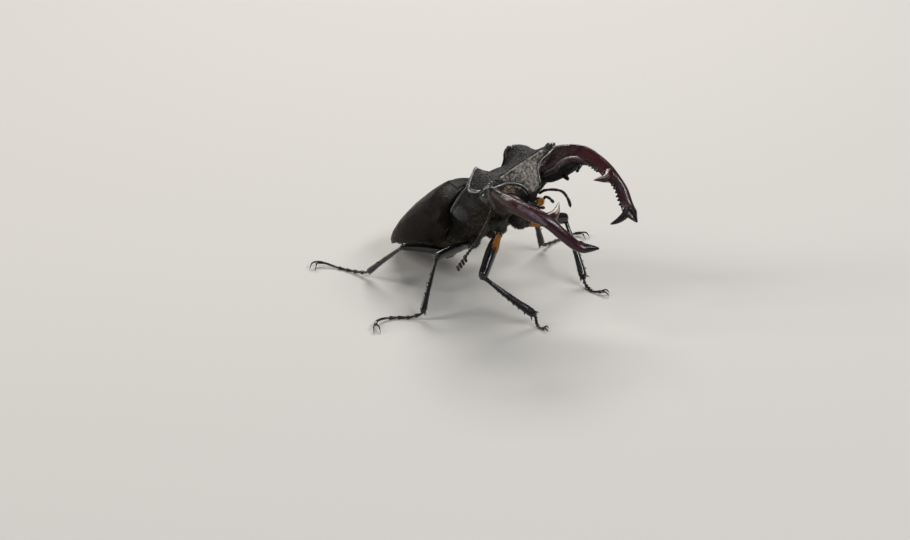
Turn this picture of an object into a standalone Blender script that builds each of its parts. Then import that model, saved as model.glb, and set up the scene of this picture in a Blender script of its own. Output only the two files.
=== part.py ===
# Male stag beetle (Lucanus cervus) in its threat posture, life size, as a still model.
#
# Lengths below are in millimetres and angles in degrees; MM turns them into metres.
# +X is the way the body heads, +Y its left, +Z up. The beetle stands on z = 0, and the
# centre of its bounding box is over the origin.
#
# The body is three stiff sections that meet at two bends: the hind body (wing cases,
# abdomen, hind thorax) meets the prothorax at the waist, and the prothorax meets the head
# at the neck. Each section has its own frame, with +X to the front and +Z to the back.

import bmesh
import bpy
from math import cos, pi, radians, sin
from mathutils import Matrix, Vector

MM = 0.001

# Posture
WAIST_HEIGHT = 17.6
HIND_BODY_PITCH = 33.0  # nose up
PROTHORAX_PITCH = 60.0
HEAD_PITCH = 1.0
HEAD_ROLL = 5.5  # left side up
LEFT_JAW_OPENING = 6.0  # from the jaws' middle position
RIGHT_JAW_OPENING = -6.0

# Body sections
ELYTRA_FRONT = -1.8
ELYTRA_LENGTH = 26.7
ELYTRA_HALF_WIDTH = 9.7
ELYTRA_HEIGHT = 7.7
ELYTRA_SIDE = -1.1  # height of the widest line of a wing case at its front
ELYTRA_FLAP = 2.6  # how far a wing case reaches below that line at the hind breast
ELYTRON_WALL = 0.9
SUTURE_GAP = 0.3
PROTHORAX_LENGTH = 9.3
PROTHORAX_HALF_WIDTH = 9.6
PROTHORAX_EDGE = 1.4  # height of the sharp edge along its side
BELLY_GAP = 0.35

# Clear gaps between neighbouring pieces
GAP = 0.3
FINE_GAP = 0.16

# Jaws, in the head's frame, for the left one in its middle position
JAW_HINGE = (7.4, 8.3, 0.85)
JAW_LINE = ((5.9, 6.7, 0.3), (7.6, 8.3, 0.9), (10.2, 10.4, 2.2), (13.4, 11.9, 2.75), (17.2, 12.0, 2.0),
            (20.3, 11.2, 0.75), (23.4, 10.6, -1.9), (26.0, 8.8, -5.0), (29.2, 6.3, -5.9))
JAW_BIG_TOOTH = ((20.2, 10.6, 0.9), (20.6, 8.6, 1.2), (20.2, 6.9, 1.7), (19.6, 5.5, 2.1))
JAW_INNER_PRONG = ((26.0, 8.6, -5.0), (25.6, 6.9, -5.9), (24.8, 5.6, -6.5), (23.9, 4.5, -6.8))

CLAW_SPREAD = 0.5


# ---------------------------------------------------------------- scene and materials

def clear_scene():
    for obj in list(bpy.data.objects):
        bpy.data.objects.remove(obj, do_unlink=True)


def new_collection(name):
    collection = bpy.data.collections.new(name)
    bpy.context.scene.collection.children.link(collection)
    return collection


def finish(name, colour, roughness, metallic=0.0):
    material = bpy.data.materials.new(name)
    material.use_nodes = True
    shader = material.node_tree.nodes["Principled BSDF"]
    shader.inputs["Base Color"].default_value = (*colour, 1.0)
    shader.inputs["Roughness"].default_value = roughness
    shader.inputs["Metallic"].default_value = metallic
    return material


def finishes():
    return {
        "elytra": finish("elytra_chitin", (0.035, 0.022, 0.016), 0.42),
        "shield": finish("shield_chitin", (0.020, 0.018, 0.016), 0.55),
        "jaw": finish("jaw_chitin", (0.085, 0.014, 0.016), 0.25),
        "leg": finish("leg_chitin", (0.010, 0.008, 0.008), 0.22),
        "belly": finish("belly_chitin", (0.020, 0.015, 0.011), 0.5),
        "feeler": finish("feeler_chitin", (0.020, 0.010, 0.007), 0.35),
        "eye": finish("eye_lens", (0.012, 0.010, 0.009), 0.12),
    }


# ---------------------------------------------------------------- frames

def turn(pitch=0.0, roll=0.0):
    return Matrix.Rotation(radians(-pitch), 4, "Y") @ Matrix.Rotation(radians(roll), 4, "X")


def frame_matrices():
    """Matrices of the three body sections, in millimetres, above the standing ground."""
    waist = Matrix.Translation((0, 0, WAIST_HEIGHT))
    prothorax = waist @ turn(PROTHORAX_PITCH)
    neck = prothorax @ Vector((PROTHORAX_LENGTH, 0, 0))
    return {
        "ground": Matrix.Identity(4),
        "hind_body": waist @ turn(HIND_BODY_PITCH),
        "prothorax": prothorax,
        "head": Matrix.Translation(neck) @ turn(HEAD_PITCH, HEAD_ROLL),
    }


def in_metres(matrix):
    out = matrix.copy()
    out.translation *= MM
    return out


def add_frames(collection, matrices):
    """One empty for each frame, all under the empty that stands the beetle on the ground."""
    root = bpy.data.objects.new("beetle_stance", None)
    collection.objects.link(root)
    frames = {"root": root}
    for name, matrix in matrices.items():
        empty = bpy.data.objects.new("frame_" + name, None)
        collection.objects.link(empty)
        empty.parent = root
        empty.matrix_basis = in_metres(matrix)
        frames[name] = empty
    return frames


# ---------------------------------------------------------------- mesh tools

class Workshop:
    """Holds the collections, frames and finishes that every piece is made with."""

    def __init__(self):
        clear_scene()
        self.parts = new_collection("stag_beetle")
        self.cutters = new_collection("stag_beetle_cutters")
        self.matrices = frame_matrices()
        self.frames = add_frames(self.parts, self.matrices)
        self.finish = finishes()

    def add(self, name, mesh, frame, finish_name):
        obj = bpy.data.objects.new(name, mesh)
        self.parts.objects.link(obj)
        obj.parent = self.frames[frame]
        mesh.materials.clear()
        mesh.materials.append(self.finish[finish_name])
        for polygon in mesh.polygons:
            polygon.use_smooth = True
        mesh.set_sharp_from_angle(angle=radians(50))
        return obj

    def helper(self, name, mesh, like):
        obj = bpy.data.objects.new(name, mesh)
        self.cutters.objects.link(obj)
        obj.parent = like.parent
        obj.matrix_basis = like.matrix_basis.copy()
        obj.hide_render = True
        obj.display_type = "WIRE"
        return obj

    def join_on(self, obj, mesh):
        """Adds the mesh to the object with a Boolean union."""
        helper = self.helper("add_" + obj.name, mesh, obj)
        modifier = obj.modifiers.new("join", "BOOLEAN")
        modifier.operation = "UNION"
        modifier.solver = "EXACT"
        modifier.use_self = True
        modifier.object = helper

    def keep_clear(self, obj, neighbour, gap=GAP):
        """Cuts the object back to leave a gap round its neighbour."""
        cutter = self.cutters.objects.get("clear_" + neighbour.name)
        if cutter is None:
            cutter = self.helper("clear_" + neighbour.name, neighbour.data, neighbour)
            swell = cutter.modifiers.new("swell", "DISPLACE")
            swell.mid_level = 0.0
            swell.strength = gap * MM
        modifier = obj.modifiers.new("clear " + neighbour.name[:40], "BOOLEAN")
        modifier.operation = "DIFFERENCE"
        modifier.solver = "EXACT"
        modifier.object = cutter


def mesh_from(bm, name):
    bmesh.ops.recalc_face_normals(bm, faces=bm.faces)
    mesh = bpy.data.meshes.new(name)
    bm.to_mesh(mesh)
    bm.free()
    return mesh


def loft(name, rings):
    """A closed skin over rings that have the same number of points, with flat ends."""
    bm = bmesh.new()
    rows = [[bm.verts.new(Vector(point) * MM) for point in ring] for ring in rings]
    count = len(rows[0])
    for near, far in zip(rows, rows[1:]):
        for i in range(count):
            j = (i + 1) % count
            bm.faces.new((near[i], near[j], far[j], far[i]))
    bm.faces.new(list(reversed(rows[0])))
    bm.faces.new(rows[-1])
    return mesh_from(bm, name)


def smooth_route(points, steps):
    """Points along a Catmull-Rom curve through the given ones."""
    knots = [Vector(p) for p in points]
    knots = [2 * knots[0] - knots[1]] + knots + [2 * knots[-1] - knots[-2]]
    route = []
    for k in range(1, len(knots) - 2):
        a, b, c, d = knots[k - 1:k + 3]
        for i in range(steps):
            t = i / steps
            route.append(0.5 * (2 * b + (c - a) * t + (2 * a - 5 * b + 4 * c - d) * t ** 2
                                + (3 * b - a - 3 * c + d) * t ** 3))
    return route + [knots[-2]]


def at_shares(route, shares):
    """The points at these shares of the route's length."""
    run = [0.0]
    for a, b in zip(route, route[1:]):
        run.append(run[-1] + (b - a).length)
    found = []
    for share in shares:
        want = share * run[-1]
        k = next((i for i in range(1, len(run)) if run[i] >= want - 1e-9), len(run) - 1)
        t = (want - run[k - 1]) / max(run[k] - run[k - 1], 1e-9)
        found.append(route[k - 1].lerp(route[k], t))
    return found


def tube(name, points, radii, resolution=1):
    """A round tube with a radius at each point, from a curve with filled caps."""
    curve = bpy.data.curves.new(name + "_curve", "CURVE")
    curve.dimensions = "3D"
    curve.bevel_depth = MM
    curve.bevel_resolution = resolution
    curve.use_fill_caps = True
    spline = curve.splines.new("POLY")
    spline.points.add(len(points) - 1)
    for knot, point, radius in zip(spline.points, points, radii):
        knot.co = (*(Vector(point) * MM), 1.0)
        knot.radius = radius
    guide = bpy.data.objects.new(name + "_guide", curve)
    bpy.context.scene.collection.objects.link(guide)
    graph = bpy.context.evaluated_depsgraph_get()
    made = bpy.data.meshes.new_from_object(guide.evaluated_get(graph))
    bpy.data.objects.remove(guide, do_unlink=True)
    bm = bmesh.new()
    bm.from_mesh(made)
    bpy.data.meshes.remove(made)
    bmesh.ops.remove_doubles(bm, verts=bm.verts, dist=0.002 * MM)
    return mesh_from(bm, name)


def ball(name, centre, radii, segments=10, rings=7, turned=None):
    bm = bmesh.new()
    bmesh.ops.create_uvsphere(bm, u_segments=segments, v_segments=rings, radius=MM)
    place = Matrix.Translation(Vector(centre) * MM) @ (turned or Matrix.Identity(4))
    bmesh.ops.transform(bm, matrix=place @ Matrix.Diagonal((*radii, 1.0)), verts=bm.verts)
    return mesh_from(bm, name)


def spikes(name, roots_and_tips, radius, sides=5):
    """Separate small cones in one mesh, each from its root point to its tip point."""
    bm = bmesh.new()
    for root, tip in roots_and_tips:
        root, tip = Vector(root) * MM, Vector(tip) * MM
        along = tip - root
        aim = along.to_track_quat("Z", "Y").to_matrix().to_4x4()
        bmesh.ops.create_cone(bm, cap_ends=True, segments=sides, radius1=radius * MM,
                              radius2=radius * 0.2 * MM, depth=along.length,
                              matrix=Matrix.Translation((root + tip) / 2) @ aim)
    return mesh_from(bm, name)


def merged(name, meshes):
    bm = bmesh.new()
    for mesh in meshes:
        bm.from_mesh(mesh)
        bpy.data.meshes.remove(mesh)
    return mesh_from(bm, name)


def mirrored(mesh, name):
    bm = bmesh.new()
    bm.from_mesh(mesh)
    bmesh.ops.scale(bm, vec=(1, -1, 1), verts=bm.verts)
    bmesh.ops.reverse_faces(bm, faces=bm.faces)
    return mesh_from(bm, name)


def eased(low, high, value):
    """0 at low, 1 at high and an even S between them."""
    t = min(max((value - low) / (high - low), 0.0), 1.0)
    return t * t * (3 - 2 * t)


def between(stations, x):
    """Values at x from stations (x, value, value, ...), with eased steps between them."""
    if x <= stations[0][0]:
        return stations[0][1:]
    for low, high in zip(stations, stations[1:]):
        if x <= high[0]:
            t = (x - low[0]) / (high[0] - low[0])
            return tuple(a + (b - a) * t for a, b in zip(low[1:], high[1:]))
    return stations[-1][1:]


def oval_ring(x, half_width, top, bottom, edge, count, sharpness=1.0):
    """A ring across the body whose widest line lies at the height of its edge."""
    ring = []
    for i in range(count):
        angle = 2 * pi * i / count
        rise = abs(sin(angle)) ** sharpness
        height = (top - edge) * rise if sin(angle) >= 0 else (bottom - edge) * rise
        ring.append((x, half_width * cos(angle), edge + height))
    return ring


# ---------------------------------------------------------------- hind body

def elytron_width(share):
    humeral = 0.16 * max(0.0, 1 - share / 0.07) ** 2
    return ELYTRA_HALF_WIDTH * (1 - share ** 3.6) ** 0.6 * (1 - humeral)


def elytron_side(share):
    """Height of the widest line of a wing case."""
    return ELYTRA_SIDE * (1 - eased(0.3, 0.75, share))


def elytron_height(share):
    shoulder = 3.0 * max(0.0, 1 - share / 0.2) ** 2
    height = ELYTRA_HEIGHT * (1 - share ** 1.9) ** 0.7 - 1.2 * share ** 4 - shoulder
    return max(height, elytron_side(share) + 0.3)


def elytron_flap(share):
    """How far the side hangs below the widest line."""
    return 0.3 + (ELYTRA_FLAP - 0.3) * eased(0.0, 0.16, share) * (1 - eased(0.16, 0.5, share))


def elytra(shop):
    arc = 7
    shares = (0, 0.03, 0.08, 0.17, 0.3, 0.44, 0.58, 0.71, 0.82, 0.9, 0.955, 0.985)
    suture = SUTURE_GAP / 2
    rings = []
    for share in shares:
        x = ELYTRA_FRONT - ELYTRA_LENGTH * share
        width, height, side = elytron_width(share), elytron_height(share), elytron_side(share)
        wall = min(ELYTRON_WALL, 0.45 * width, 0.45 * (height - side))
        outer, inner = [], []
        for i in range(arc + 1):
            angle = 0.5 * pi * i / arc
            out, rise = sin(angle), cos(angle) ** 0.8
            outer.append((x, max(suture, width * out), side + (height - side) * rise))
            inner.append((x, max(suture, (width - wall) * out), side + (height - wall - side) * rise))
        flap = elytron_flap(share)
        outer.append((x, width - 0.12 * flap, side - flap))
        inner.append((x, width - 0.12 * flap - 0.9 * wall, side - flap))
        rings.append(outer + inner[::-1])
    left = loft("elytron_left", rings)
    right = mirrored(left, "elytron_right")
    return (shop.add("elytron_left", left, "hind_body", "elytra"),
            shop.add("elytron_right", right, "hind_body", "elytra"))


def scutellum(shop):
    outline = ((-2.3, 1.9), (-4.0, 1.5), (-5.7, 0.15), (-5.7, -0.15), (-4.0, -1.5), (-2.3, -1.9))
    rings = [[(x, y, 4.6) for x, y in outline],
             [(x, y, elytron_height((ELYTRA_FRONT - x) / ELYTRA_LENGTH) + 0.12) for x, y in outline]]
    return shop.add("scutellum", loft("scutellum", rings), "hind_body", "shield")


def belly_rings(xs, bottom_stations, count):
    rings = []
    for x in xs:
        share = min(max((ELYTRA_FRONT - x) / ELYTRA_LENGTH, 0.0), 0.97)
        width, bottom = between(bottom_stations, x)
        edge = elytron_side(share)
        top = max(elytron_height(share) - ELYTRON_WALL - BELLY_GAP, edge + 0.05)
        inside = elytron_width(share) - ELYTRON_WALL - BELLY_GAP
        ring = []
        for _, y, z in oval_ring(x, 1.0, 1.0, -1.0, 0.0, count, 0.8):
            if z >= 0:
                ring.append((x, y * inside, edge + z * (top - edge)))
            else:
                ring.append((x, y * min(width, inside), edge - z * (bottom - edge)))
        rings.append(ring)
    return rings


def abdomen(shop):
    stations = ((-27.6, 2.6, -0.6), (-25.0, 4.8, -1.2), (-21.0, 6.9, -2.3), (-17.0, 8.2, -3.8),
                (-12.9, 8.6, -5.5))
    xs = (-27.3, -26.4, -24.6, -22.0, -19.0, -15.8, -12.9)
    mesh = loft("abdomen", belly_rings(xs, stations, 18))
    return shop.add("abdomen", mesh, "hind_body", "belly")


def hind_thorax(shop):
    """The middle and hind thorax, from the waist back to the first ring of the belly."""
    stations = ((-12.6, 8.6, -5.7), (-8.0, 8.8, -6.3), (-4.0, 8.4, -6.3), (-3.2, 8.0, -6.2))
    rings = belly_rings((-12.6, -9.5, -6.5, -4.4, -3.1), stations, 16)
    neck = ((-2.4, 7.4, 2.8, -5.9), (-1.2, 6.4, 1.8, -5.5), (1.4, 5.2, 0.8, -4.7))
    for x, half_width, top, bottom in neck:
        rings.append(oval_ring(x, half_width, top, bottom, ELYTRA_SIDE, 16, 0.8))
    return shop.add("hind_thorax", loft("hind_thorax", rings), "hind_body", "belly")


# ---------------------------------------------------------------- prothorax

def disc_height(across, top):
    """Height of the pronotum's low disc, flat towards its sharp edges."""
    return PROTHORAX_EDGE + 0.15 + (top - PROTHORAX_EDGE - 0.15) * eased(0.0, 1.0, 1 - abs(across))


def prothorax(shop):
    """The pronotum with the first breastplate: broad, with a sharp edge along each side."""
    # x, half width, top, bottom
    stations = ((0.2, 8.3, 3.5, -4.6), (0.7, 8.9, 3.8, -5.2), (2.4, 9.5, 3.9, -6.0),
                (4.8, PROTHORAX_HALF_WIDTH, 3.6, -6.1), (7.0, 9.3, 3.0, -5.3),
                (8.6, 8.6, 2.4, -4.2), (PROTHORAX_LENGTH, 7.6, 2.1, -3.4))
    rings = []
    for x, half_width, top, bottom in stations:
        ring = oval_ring(x, half_width, top, bottom, PROTHORAX_EDGE, 20, 0.9)
        rings.append([(x, y, disc_height(y / half_width, top) if z > PROTHORAX_EDGE else z)
                      for _, y, z in ring])
    return shop.add("prothorax", loft("prothorax", rings), "prothorax", "shield")


# ---------------------------------------------------------------- head

def crown_height(x, y, half_width, middle, crest_at, crest, edge):
    """Height across the top of the head: a dished middle, a crest each side, a lower edge."""
    off = abs(y)
    if off <= crest_at:
        dish = 0.85 * (1 - eased(-1.9, 2.4, x))  # at the back the crests rise steeply from a flat saddle
        return middle + (crest - middle) * eased(dish, 1.0, off / crest_at)
    t = min(1.0, (off - crest_at) / max(half_width - crest_at, 1e-6))
    return crest + (edge - crest) * t ** 1.6


def head_ring(x, half_width, middle, crest_at, crest, edge, bottom, tuck):
    """A ring across the head; tuck is the share of the width that the flat underside keeps."""
    over, under = 13, 7
    ring = []
    for i in range(over):
        y = half_width * cos(pi * i / (over - 1))
        ring.append((x, y, crown_height(x, y, half_width, middle, crest_at, crest, edge)))
    for i in range(1, under + 1):
        angle = pi * i / (under + 1)
        y = -half_width * cos(angle) * (tuck + (1 - tuck) * abs(cos(angle)))
        ring.append((x, y, edge - 0.25 + (bottom - edge + 0.25) * sin(angle) ** 0.6))
    return ring


def head(shop):
    # x, half width, middle, crest at, crest, edge, bottom, tuck
    stations = ((-2.6, 4.6, -0.6, 2.5, -0.7, -1.2, -2.4, 1.0),
                (-2.2, 5.2, 0.0, 3.6, 0.1, -0.7, -2.2, 1.0),
                (-1.65, 6.0, 0.5, 4.9, 3.5, 2.7, -2.1, 0.75),
                (-0.9, 8.2, 1.25, 5.4, 4.6, 2.8, -2.1, 0.7),
                (0.0, 9.7, 1.6, 6.0, 4.9, 2.7, -2.2, 0.7),
                (1.2, 10.4, 2.0, 6.4, 4.8, 2.3, -2.7, 0.7),
                (3.4, 10.0, 3.2, 6.6, 4.5, 2.4, -3.7, 0.7),
                (5.0, 10.1, 4.4, 6.9, 4.8, 3.6, -4.4, 0.75),
                (6.1, 10.8, 5.4, 7.4, 5.3, 4.8, -4.7, 0.75),
                (6.7, 11.0, 5.4, 7.6, 5.2, 5.0, -4.8, 0.75),
                (7.2, 10.5, 4.8, 7.4, 5.1, 4.6, -4.7, 0.8),
                (7.7, 7.4, 4.2, 6.6, 4.4, 4.2, -4.5, 0.9),
                (8.2, 5.0, 3.5, 4.2, 3.4, 3.2, -4.3, 0.9),
                (8.8, 3.4, 2.75, 2.8, 2.7, 2.5, -3.9, 0.95),
                (9.4, 2.5, 1.9, 2.0, 1.85, 1.7, -2.6, 1.0),
                (9.9, 1.8, 0.3, 1.4, 0.2, 0.1, -1.3, 1.0))
    return shop.add("head", loft("head", [head_ring(*s) for s in stations]), "head", "shield")


def eyes(shop):
    found = []
    for side, label in ((1, "left"), (-1, "right")):
        mesh = ball("eye_" + label, (4.7, side * 9.9, 1.4), (1.4, 1.0, 1.2), 10, 7)
        found.append(shop.add("eye_" + label, mesh, "head", "eye"))
    return found


def labrum(shop):
    mesh = ball("labrum", (9.4, 0.6, -3.2), (0.8, 1.3, 0.8), 10, 6)
    return shop.add("labrum", mesh, "head", "shield")


# ---------------------------------------------------------------- jaws

def jaw_section(share):
    """Half width, height above the line, depth below it and outward lean at this share of a jaw."""
    return between(((0.0, 1.3, 2.0, 1.9, 0.5), (0.06, 1.5, 2.7, 2.8, 0.6), (0.15, 1.5, 3.6, 3.2, 0.6),
                    (0.23, 1.5, 3.2, 2.9, 0.6), (0.29, 1.5, 2.7, 2.2, 0.5), (0.38, 1.5, 2.1, 1.5, 0.4),
                    (0.54, 1.6, 1.45, 1.3, 0.1), (0.68, 1.2, 1.25, 1.2, 0), (0.79, 1.2, 1.15, 1.1, 0),
                    (0.885, 1.35, 1.05, 1.0, 0), (0.945, 0.75, 0.75, 0.7, 0), (1.0, 0.22, 0.22, 0.2, 0)),
                   share)


def jaw_mesh(name):
    sides = 10
    shares = (0, 0.06, 0.14, 0.23, 0.29, 0.38, 0.5, 0.62, 0.75, 0.83, 0.885, 0.945, 1.0)
    centres = at_shares(smooth_route(JAW_LINE, 10), shares)
    rings = []
    for k, centre in enumerate(centres):
        ahead = centres[min(k + 1, len(centres) - 1)] - centres[max(k - 1, 0)]
        ahead.normalize()
        outward = Vector((0, 0, 1)).cross(ahead).normalized()
        upward = ahead.cross(outward)
        half_width, rise, drop, lean = jaw_section(shares[k])
        across = outward * cos(lean) - upward * sin(lean)
        height = upward * cos(lean) + outward * sin(lean)
        ring = []
        for i in range(sides):
            angle = 2 * pi * i / sides
            reach = rise if sin(angle) > 0 else drop
            ring.append(centre + across * (half_width * cos(angle)) + height * (reach * sin(angle)))
        rings.append(ring)
    return loft(name, rings)


def jaw_teeth(name):
    """The big inner tooth, the inner prong of the fork and the rows of small teeth."""
    tooth = tube("tooth", JAW_BIG_TOOTH, (1.35, 0.95, 0.55, 0.14))
    prong = tube("prong", JAW_INNER_PRONG, (0.95, 0.68, 0.42, 0.13))
    fine = smooth_route(JAW_LINE, 10)
    small = []
    for share in (0.4, 0.435, 0.47, 0.65, 0.685, 0.725, 0.765, 0.805):
        root, ahead = at_shares(fine, (share, share + 0.02))
        inward = (ahead - root).cross(Vector((0, 0, 1))).normalized()
        inward = -inward if inward.y > 0 else inward
        reach = jaw_section(share)[0]
        small.append((root + inward * (reach - 0.5), root + inward * (reach + 0.42)))
    small.append((Vector((11.3, 8.9, 0.0)), Vector((12.3, 7.7, -0.2))))
    return merged(name, [tooth, prong, spikes("small_teeth", small, 0.42, 4)])


def jaws(shop):
    hinge = Vector(JAW_HINGE)
    found = []
    for side, label, opening in ((1, "left", LEFT_JAW_OPENING), (-1, "right", RIGHT_JAW_OPENING)):
        name = "mandible_" + label
        body, teeth = jaw_mesh(name), jaw_teeth("teeth_" + label)
        if side < 0:
            body, teeth = mirrored(body, name), mirrored(teeth, "teeth_" + label)
        jaw = shop.add(name, body, "head", "jaw")
        pivot = Vector((hinge.x, side * hinge.y, hinge.z)) * MM
        jaw.matrix_basis = (Matrix.Translation(pivot) @ Matrix.Rotation(radians(side * opening), 4, "Z")
                            @ Matrix.Translation(-pivot))
        shop.join_on(jaw, teeth)
        found.append(jaw)
    return found


# ---------------------------------------------------------------- palps and antennae

PALPS = {
    "maxillary_palp_left": ((8.6, 2.9, -2.6), (9.6, 3.3, -1.8), (11.4, 4.2, -1.5),
                            (13.1, 5.0, -1.9), (14.4, 5.1, -3.4), (15.0, 5.0, -5.0)),
    "maxillary_palp_right": ((9.0, -1.6, -2.4), (9.7, -1.4, -2.4), (10.4, -1.2, -2.9),
                             (11.7, -1.0, -3.2), (12.9, -1.0, -2.8)),
    "labial_palp_left": ((10.1, 2.3, -3.2), (10.6, 2.4, -2.6), (11.4, 2.6, -2.8), (12.2, 3.0, -3.8)),
    "labial_palp_right": ((9.5, -0.6, -4.5), (10.2, -0.3, -4.4), (10.9, 0.0, -3.9)),
}
ANTENNAE = {  # root, elbow, tip, in the head's frame
    "right": ((6.0, -9.6, -0.6), (5.6, -14.0, -6.1), (4.2, -20.3, -10.7)),
    "left": ((6.0, 9.6, -0.6), (0.6, 12.8, -2.6), (-4.4, 14.6, -8.4)),
}


def palps(shop):
    found = []
    for name, route in PALPS.items():
        fine = smooth_route(route, 6)
        shares = [i / 8 for i in range(9)]
        radii = [0.3 + 0.05 * cos(2 * pi * 3 * s) for s in shares]
        found.append(shop.add(name, tube(name, at_shares(fine, shares), radii), "head", "feeler"))
    return found


def antennae(shop):
    found = []
    for label, (root, elbow, tip) in ANTENNAE.items():
        root, elbow, tip = Vector(root), Vector(elbow), Vector(tip)
        lean = (tip - elbow).normalized()
        sag = Vector((0.5, 0, 0.4))
        line = smooth_route((root, root.lerp(elbow, 0.5) + sag, elbow), 4)
        scape = tube("scape", at_shares(line, (0, 0.12, 0.5, 0.88, 1.0)), (0.3, 0.26, 0.3, 0.4, 0.34))
        found.append(shop.add("antenna_scape_" + label, scape, "head", "feeler"))
        start = elbow + lean * 0.75
        beads = [start.lerp(tip, t) for t in (0, 0.09, 0.18, 0.27, 0.36, 0.45, 0.54, 0.6)]
        radii = (0.27, 0.36, 0.27, 0.36, 0.27, 0.38, 0.28, 0.3)
        stalk = tube("stalk", beads, radii, 0)
        span = (tip - start).length
        comb_way = lean.cross(Vector((1, 0, 0))).normalized()
        comb_way = -comb_way if comb_way.z < 0 else comb_way
        leaves = []
        for k in range(4):
            foot = start + lean * span * (0.57 + 0.125 * k)
            leaf_tip = foot - comb_way * 1.1 + lean * 0.45
            leaves.append((foot + comb_way * 0.25, leaf_tip))
        antenna = shop.add("antenna_club_" + label, stalk, "head", "feeler")
        spine = tube("spine", [start.lerp(tip, t) for t in (0.56, 0.78, 1.0)], (0.26, 0.3, 0.26), 0)
        shop.join_on(antenna, spine)
        shop.join_on(antenna, spikes("comb_" + label, leaves, 0.3, 4))
    return found


# ---------------------------------------------------------------- legs

# Hip in the section's frame; knee and ankle above the ground; the route of the foot.
LEGS = {
    "front_right": {
        "section": "prothorax", "hip": (3.0, -4.0, -8.0), "knee": (12.5, -14.6, 10.7),
        "ankle": (21.6, -8.4, 2.2), "reach": (0.8, 0.5),
        "foot": ((22.1, -8.7, 1.4), (22.7, -9.1, 0.75), (23.6, -9.3, 0.36), (24.5, -9.1, 0.4))},
    "front_left": {
        "section": "prothorax", "hip": (1.4, 4.0, -8.6), "knee": (11.0, 15.6, 12.1),
        "ankle": (19.5, 11.6, 1.8), "reach": (1.4, 0.9),
        "foot": ((19.9, 11.3, 1.1), (20.9, 11.0, 0.5), (22.7, 10.4, 0.36), (24.7, 10.9, 0.7))},
    "middle_right": {
        "section": "hind_body", "hip": (-3.5, -3.8, -6.6), "knee": (1.2, -15.9, 12.1),
        "ankle": (2.3, -21.9, 1.7), "reach": (1.9, -1.5),
        "foot": ((1.7, -22.2, 1.1), (0.1, -23.6, 0.5), (-2.2, -25.4, 0.36), (-3.5, -27.6, 0.6),
                 (-3.5, -29.6, 0.9), (-2.8, -31.0, 0.85))},
    "middle_left": {
        "section": "hind_body", "hip": (-3.5, 3.8, -6.6), "knee": (1.9, 15.2, 12.4),
        "ankle": (2.5, 18.8, 1.6), "reach": (2.1, -0.3),
        "foot": ((2.3, 20.2, 0.9), (2.2, 22.8, 0.45), (2.7, 26.3, 0.36), (3.7, 29.1, 0.6),
                 (4.9, 30.3, 0.8))},
    "hind_right": {
        "section": "hind_body", "hip": (-11.2, -4.2, -6.6), "knee": (-8.2, -16.1, 11.3),
        "ankle": (-18.7, -15.8, 1.5), "reach": (0.9, -2.3),
        "foot": ((-20.4, -15.9, 0.9), (-23.3, -16.3, 0.45), (-26.7, -17.0, 0.36),
                 (-29.6, -17.9, 0.8), (-31.2, -19.0, 1.0))},
    "hind_left": {
        "section": "hind_body", "hip": (-11.2, 4.2, -6.6), "knee": (-7.4, 16.0, 11.0),
        "ankle": (-16.6, 16.6, 1.5), "reach": (-0.6, 2.3),
        "foot": ((-18.0, 17.0, 0.9), (-20.2, 17.6, 0.45), (-23.0, 18.5, 0.36), (-25.2, 19.4, 0.6),
                 (-26.6, 20.6, 0.8))},
}
COXA_RADII = {"front": (1.6, 1.7, 2.6), "middle": (1.7, 2.0, 1.8), "hind": (1.6, 2.2, 1.7)}
FEMUR_PROFILE = ((0.0, 0.62), (0.05, 0.88), (0.14, 0.92), (0.3, 1.1), (0.52, 1.15), (0.74, 1.06),
                 (0.92, 0.98), (1.0, 0.62))
STOUTNESS = {"front": 1.3, "middle": 1.0, "hind": 0.86}
TIBIA_PROFILE = ((0.0, 0.4), (0.05, 0.52), (0.14, 0.46), (0.4, 0.58), (0.7, 0.66), (0.92, 0.8),
                 (1.0, 0.56))
FRONT_TIBIA_PROFILE = ((0.0, 0.42), (0.05, 0.56), (0.14, 0.5), (0.4, 0.68), (0.7, 0.86),
                       (0.92, 1.0), (1.0, 0.66))
TIBIA_TEETH = {"front": (0.34, 0.52, 0.68, 0.82, 0.95), "middle": (0.3, 0.46, 0.64), "hind": (0.4, 0.58)}
TARSUS_SHARES = (0.0, 0.12, 0.155, 0.27, 0.305, 0.42, 0.455, 0.57, 0.605, 0.8, 0.97, 1.0)
TARSUS_RADII = (0.3, 0.44, 0.28, 0.42, 0.28, 0.42, 0.28, 0.42, 0.28, 0.34, 0.42, 0.3)


def limb_place(start, end, bulge):
    """A frame at the start of a limb with +X to its end and +Z as near to bulge as can be."""
    ahead = (end - start).normalized()
    side = bulge.cross(ahead).normalized()
    upward = ahead.cross(side)
    turned = Matrix((ahead, side, upward)).transposed().to_4x4()
    return Matrix.Translation(start * MM) @ turned


def scaled(profile, scale):
    return [(share, radius * scale) for share, radius in profile]


def limb_mesh(name, length, profile, flatness, resolution):
    points = [(share * length, 0, 0) for share, _ in profile]
    mesh = tube(name, points, [radius for _, radius in profile], resolution)
    mesh.transform(Matrix.Diagonal((1.0, flatness, 1.0, 1.0)))
    return mesh


def claws(name, wrist, reach):
    """Two hooked claws side by side, their tips on the ground at this reach from the wrist."""
    flat = Vector((*reach, 0))
    side = Vector((-flat.y, flat.x, 0)).normalized()
    pair = []
    for way in (1, -1):
        root = wrist - flat.normalized() * 0.15 + side * way * 0.17
        mid = wrist + flat * 0.55 + side * way * CLAW_SPREAD
        mid.z = wrist.z + 0.15
        tip = wrist + flat + side * way * CLAW_SPREAD * 1.3
        tip.z = 0.13
        hook = at_shares(smooth_route((root, mid, tip), 4), (0, 0.3, 0.65, 1.0))
        pair.append(tube("claw", hook, (0.16, 0.24, 0.23, 0.16), 0))
    return merged(name, pair)


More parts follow.
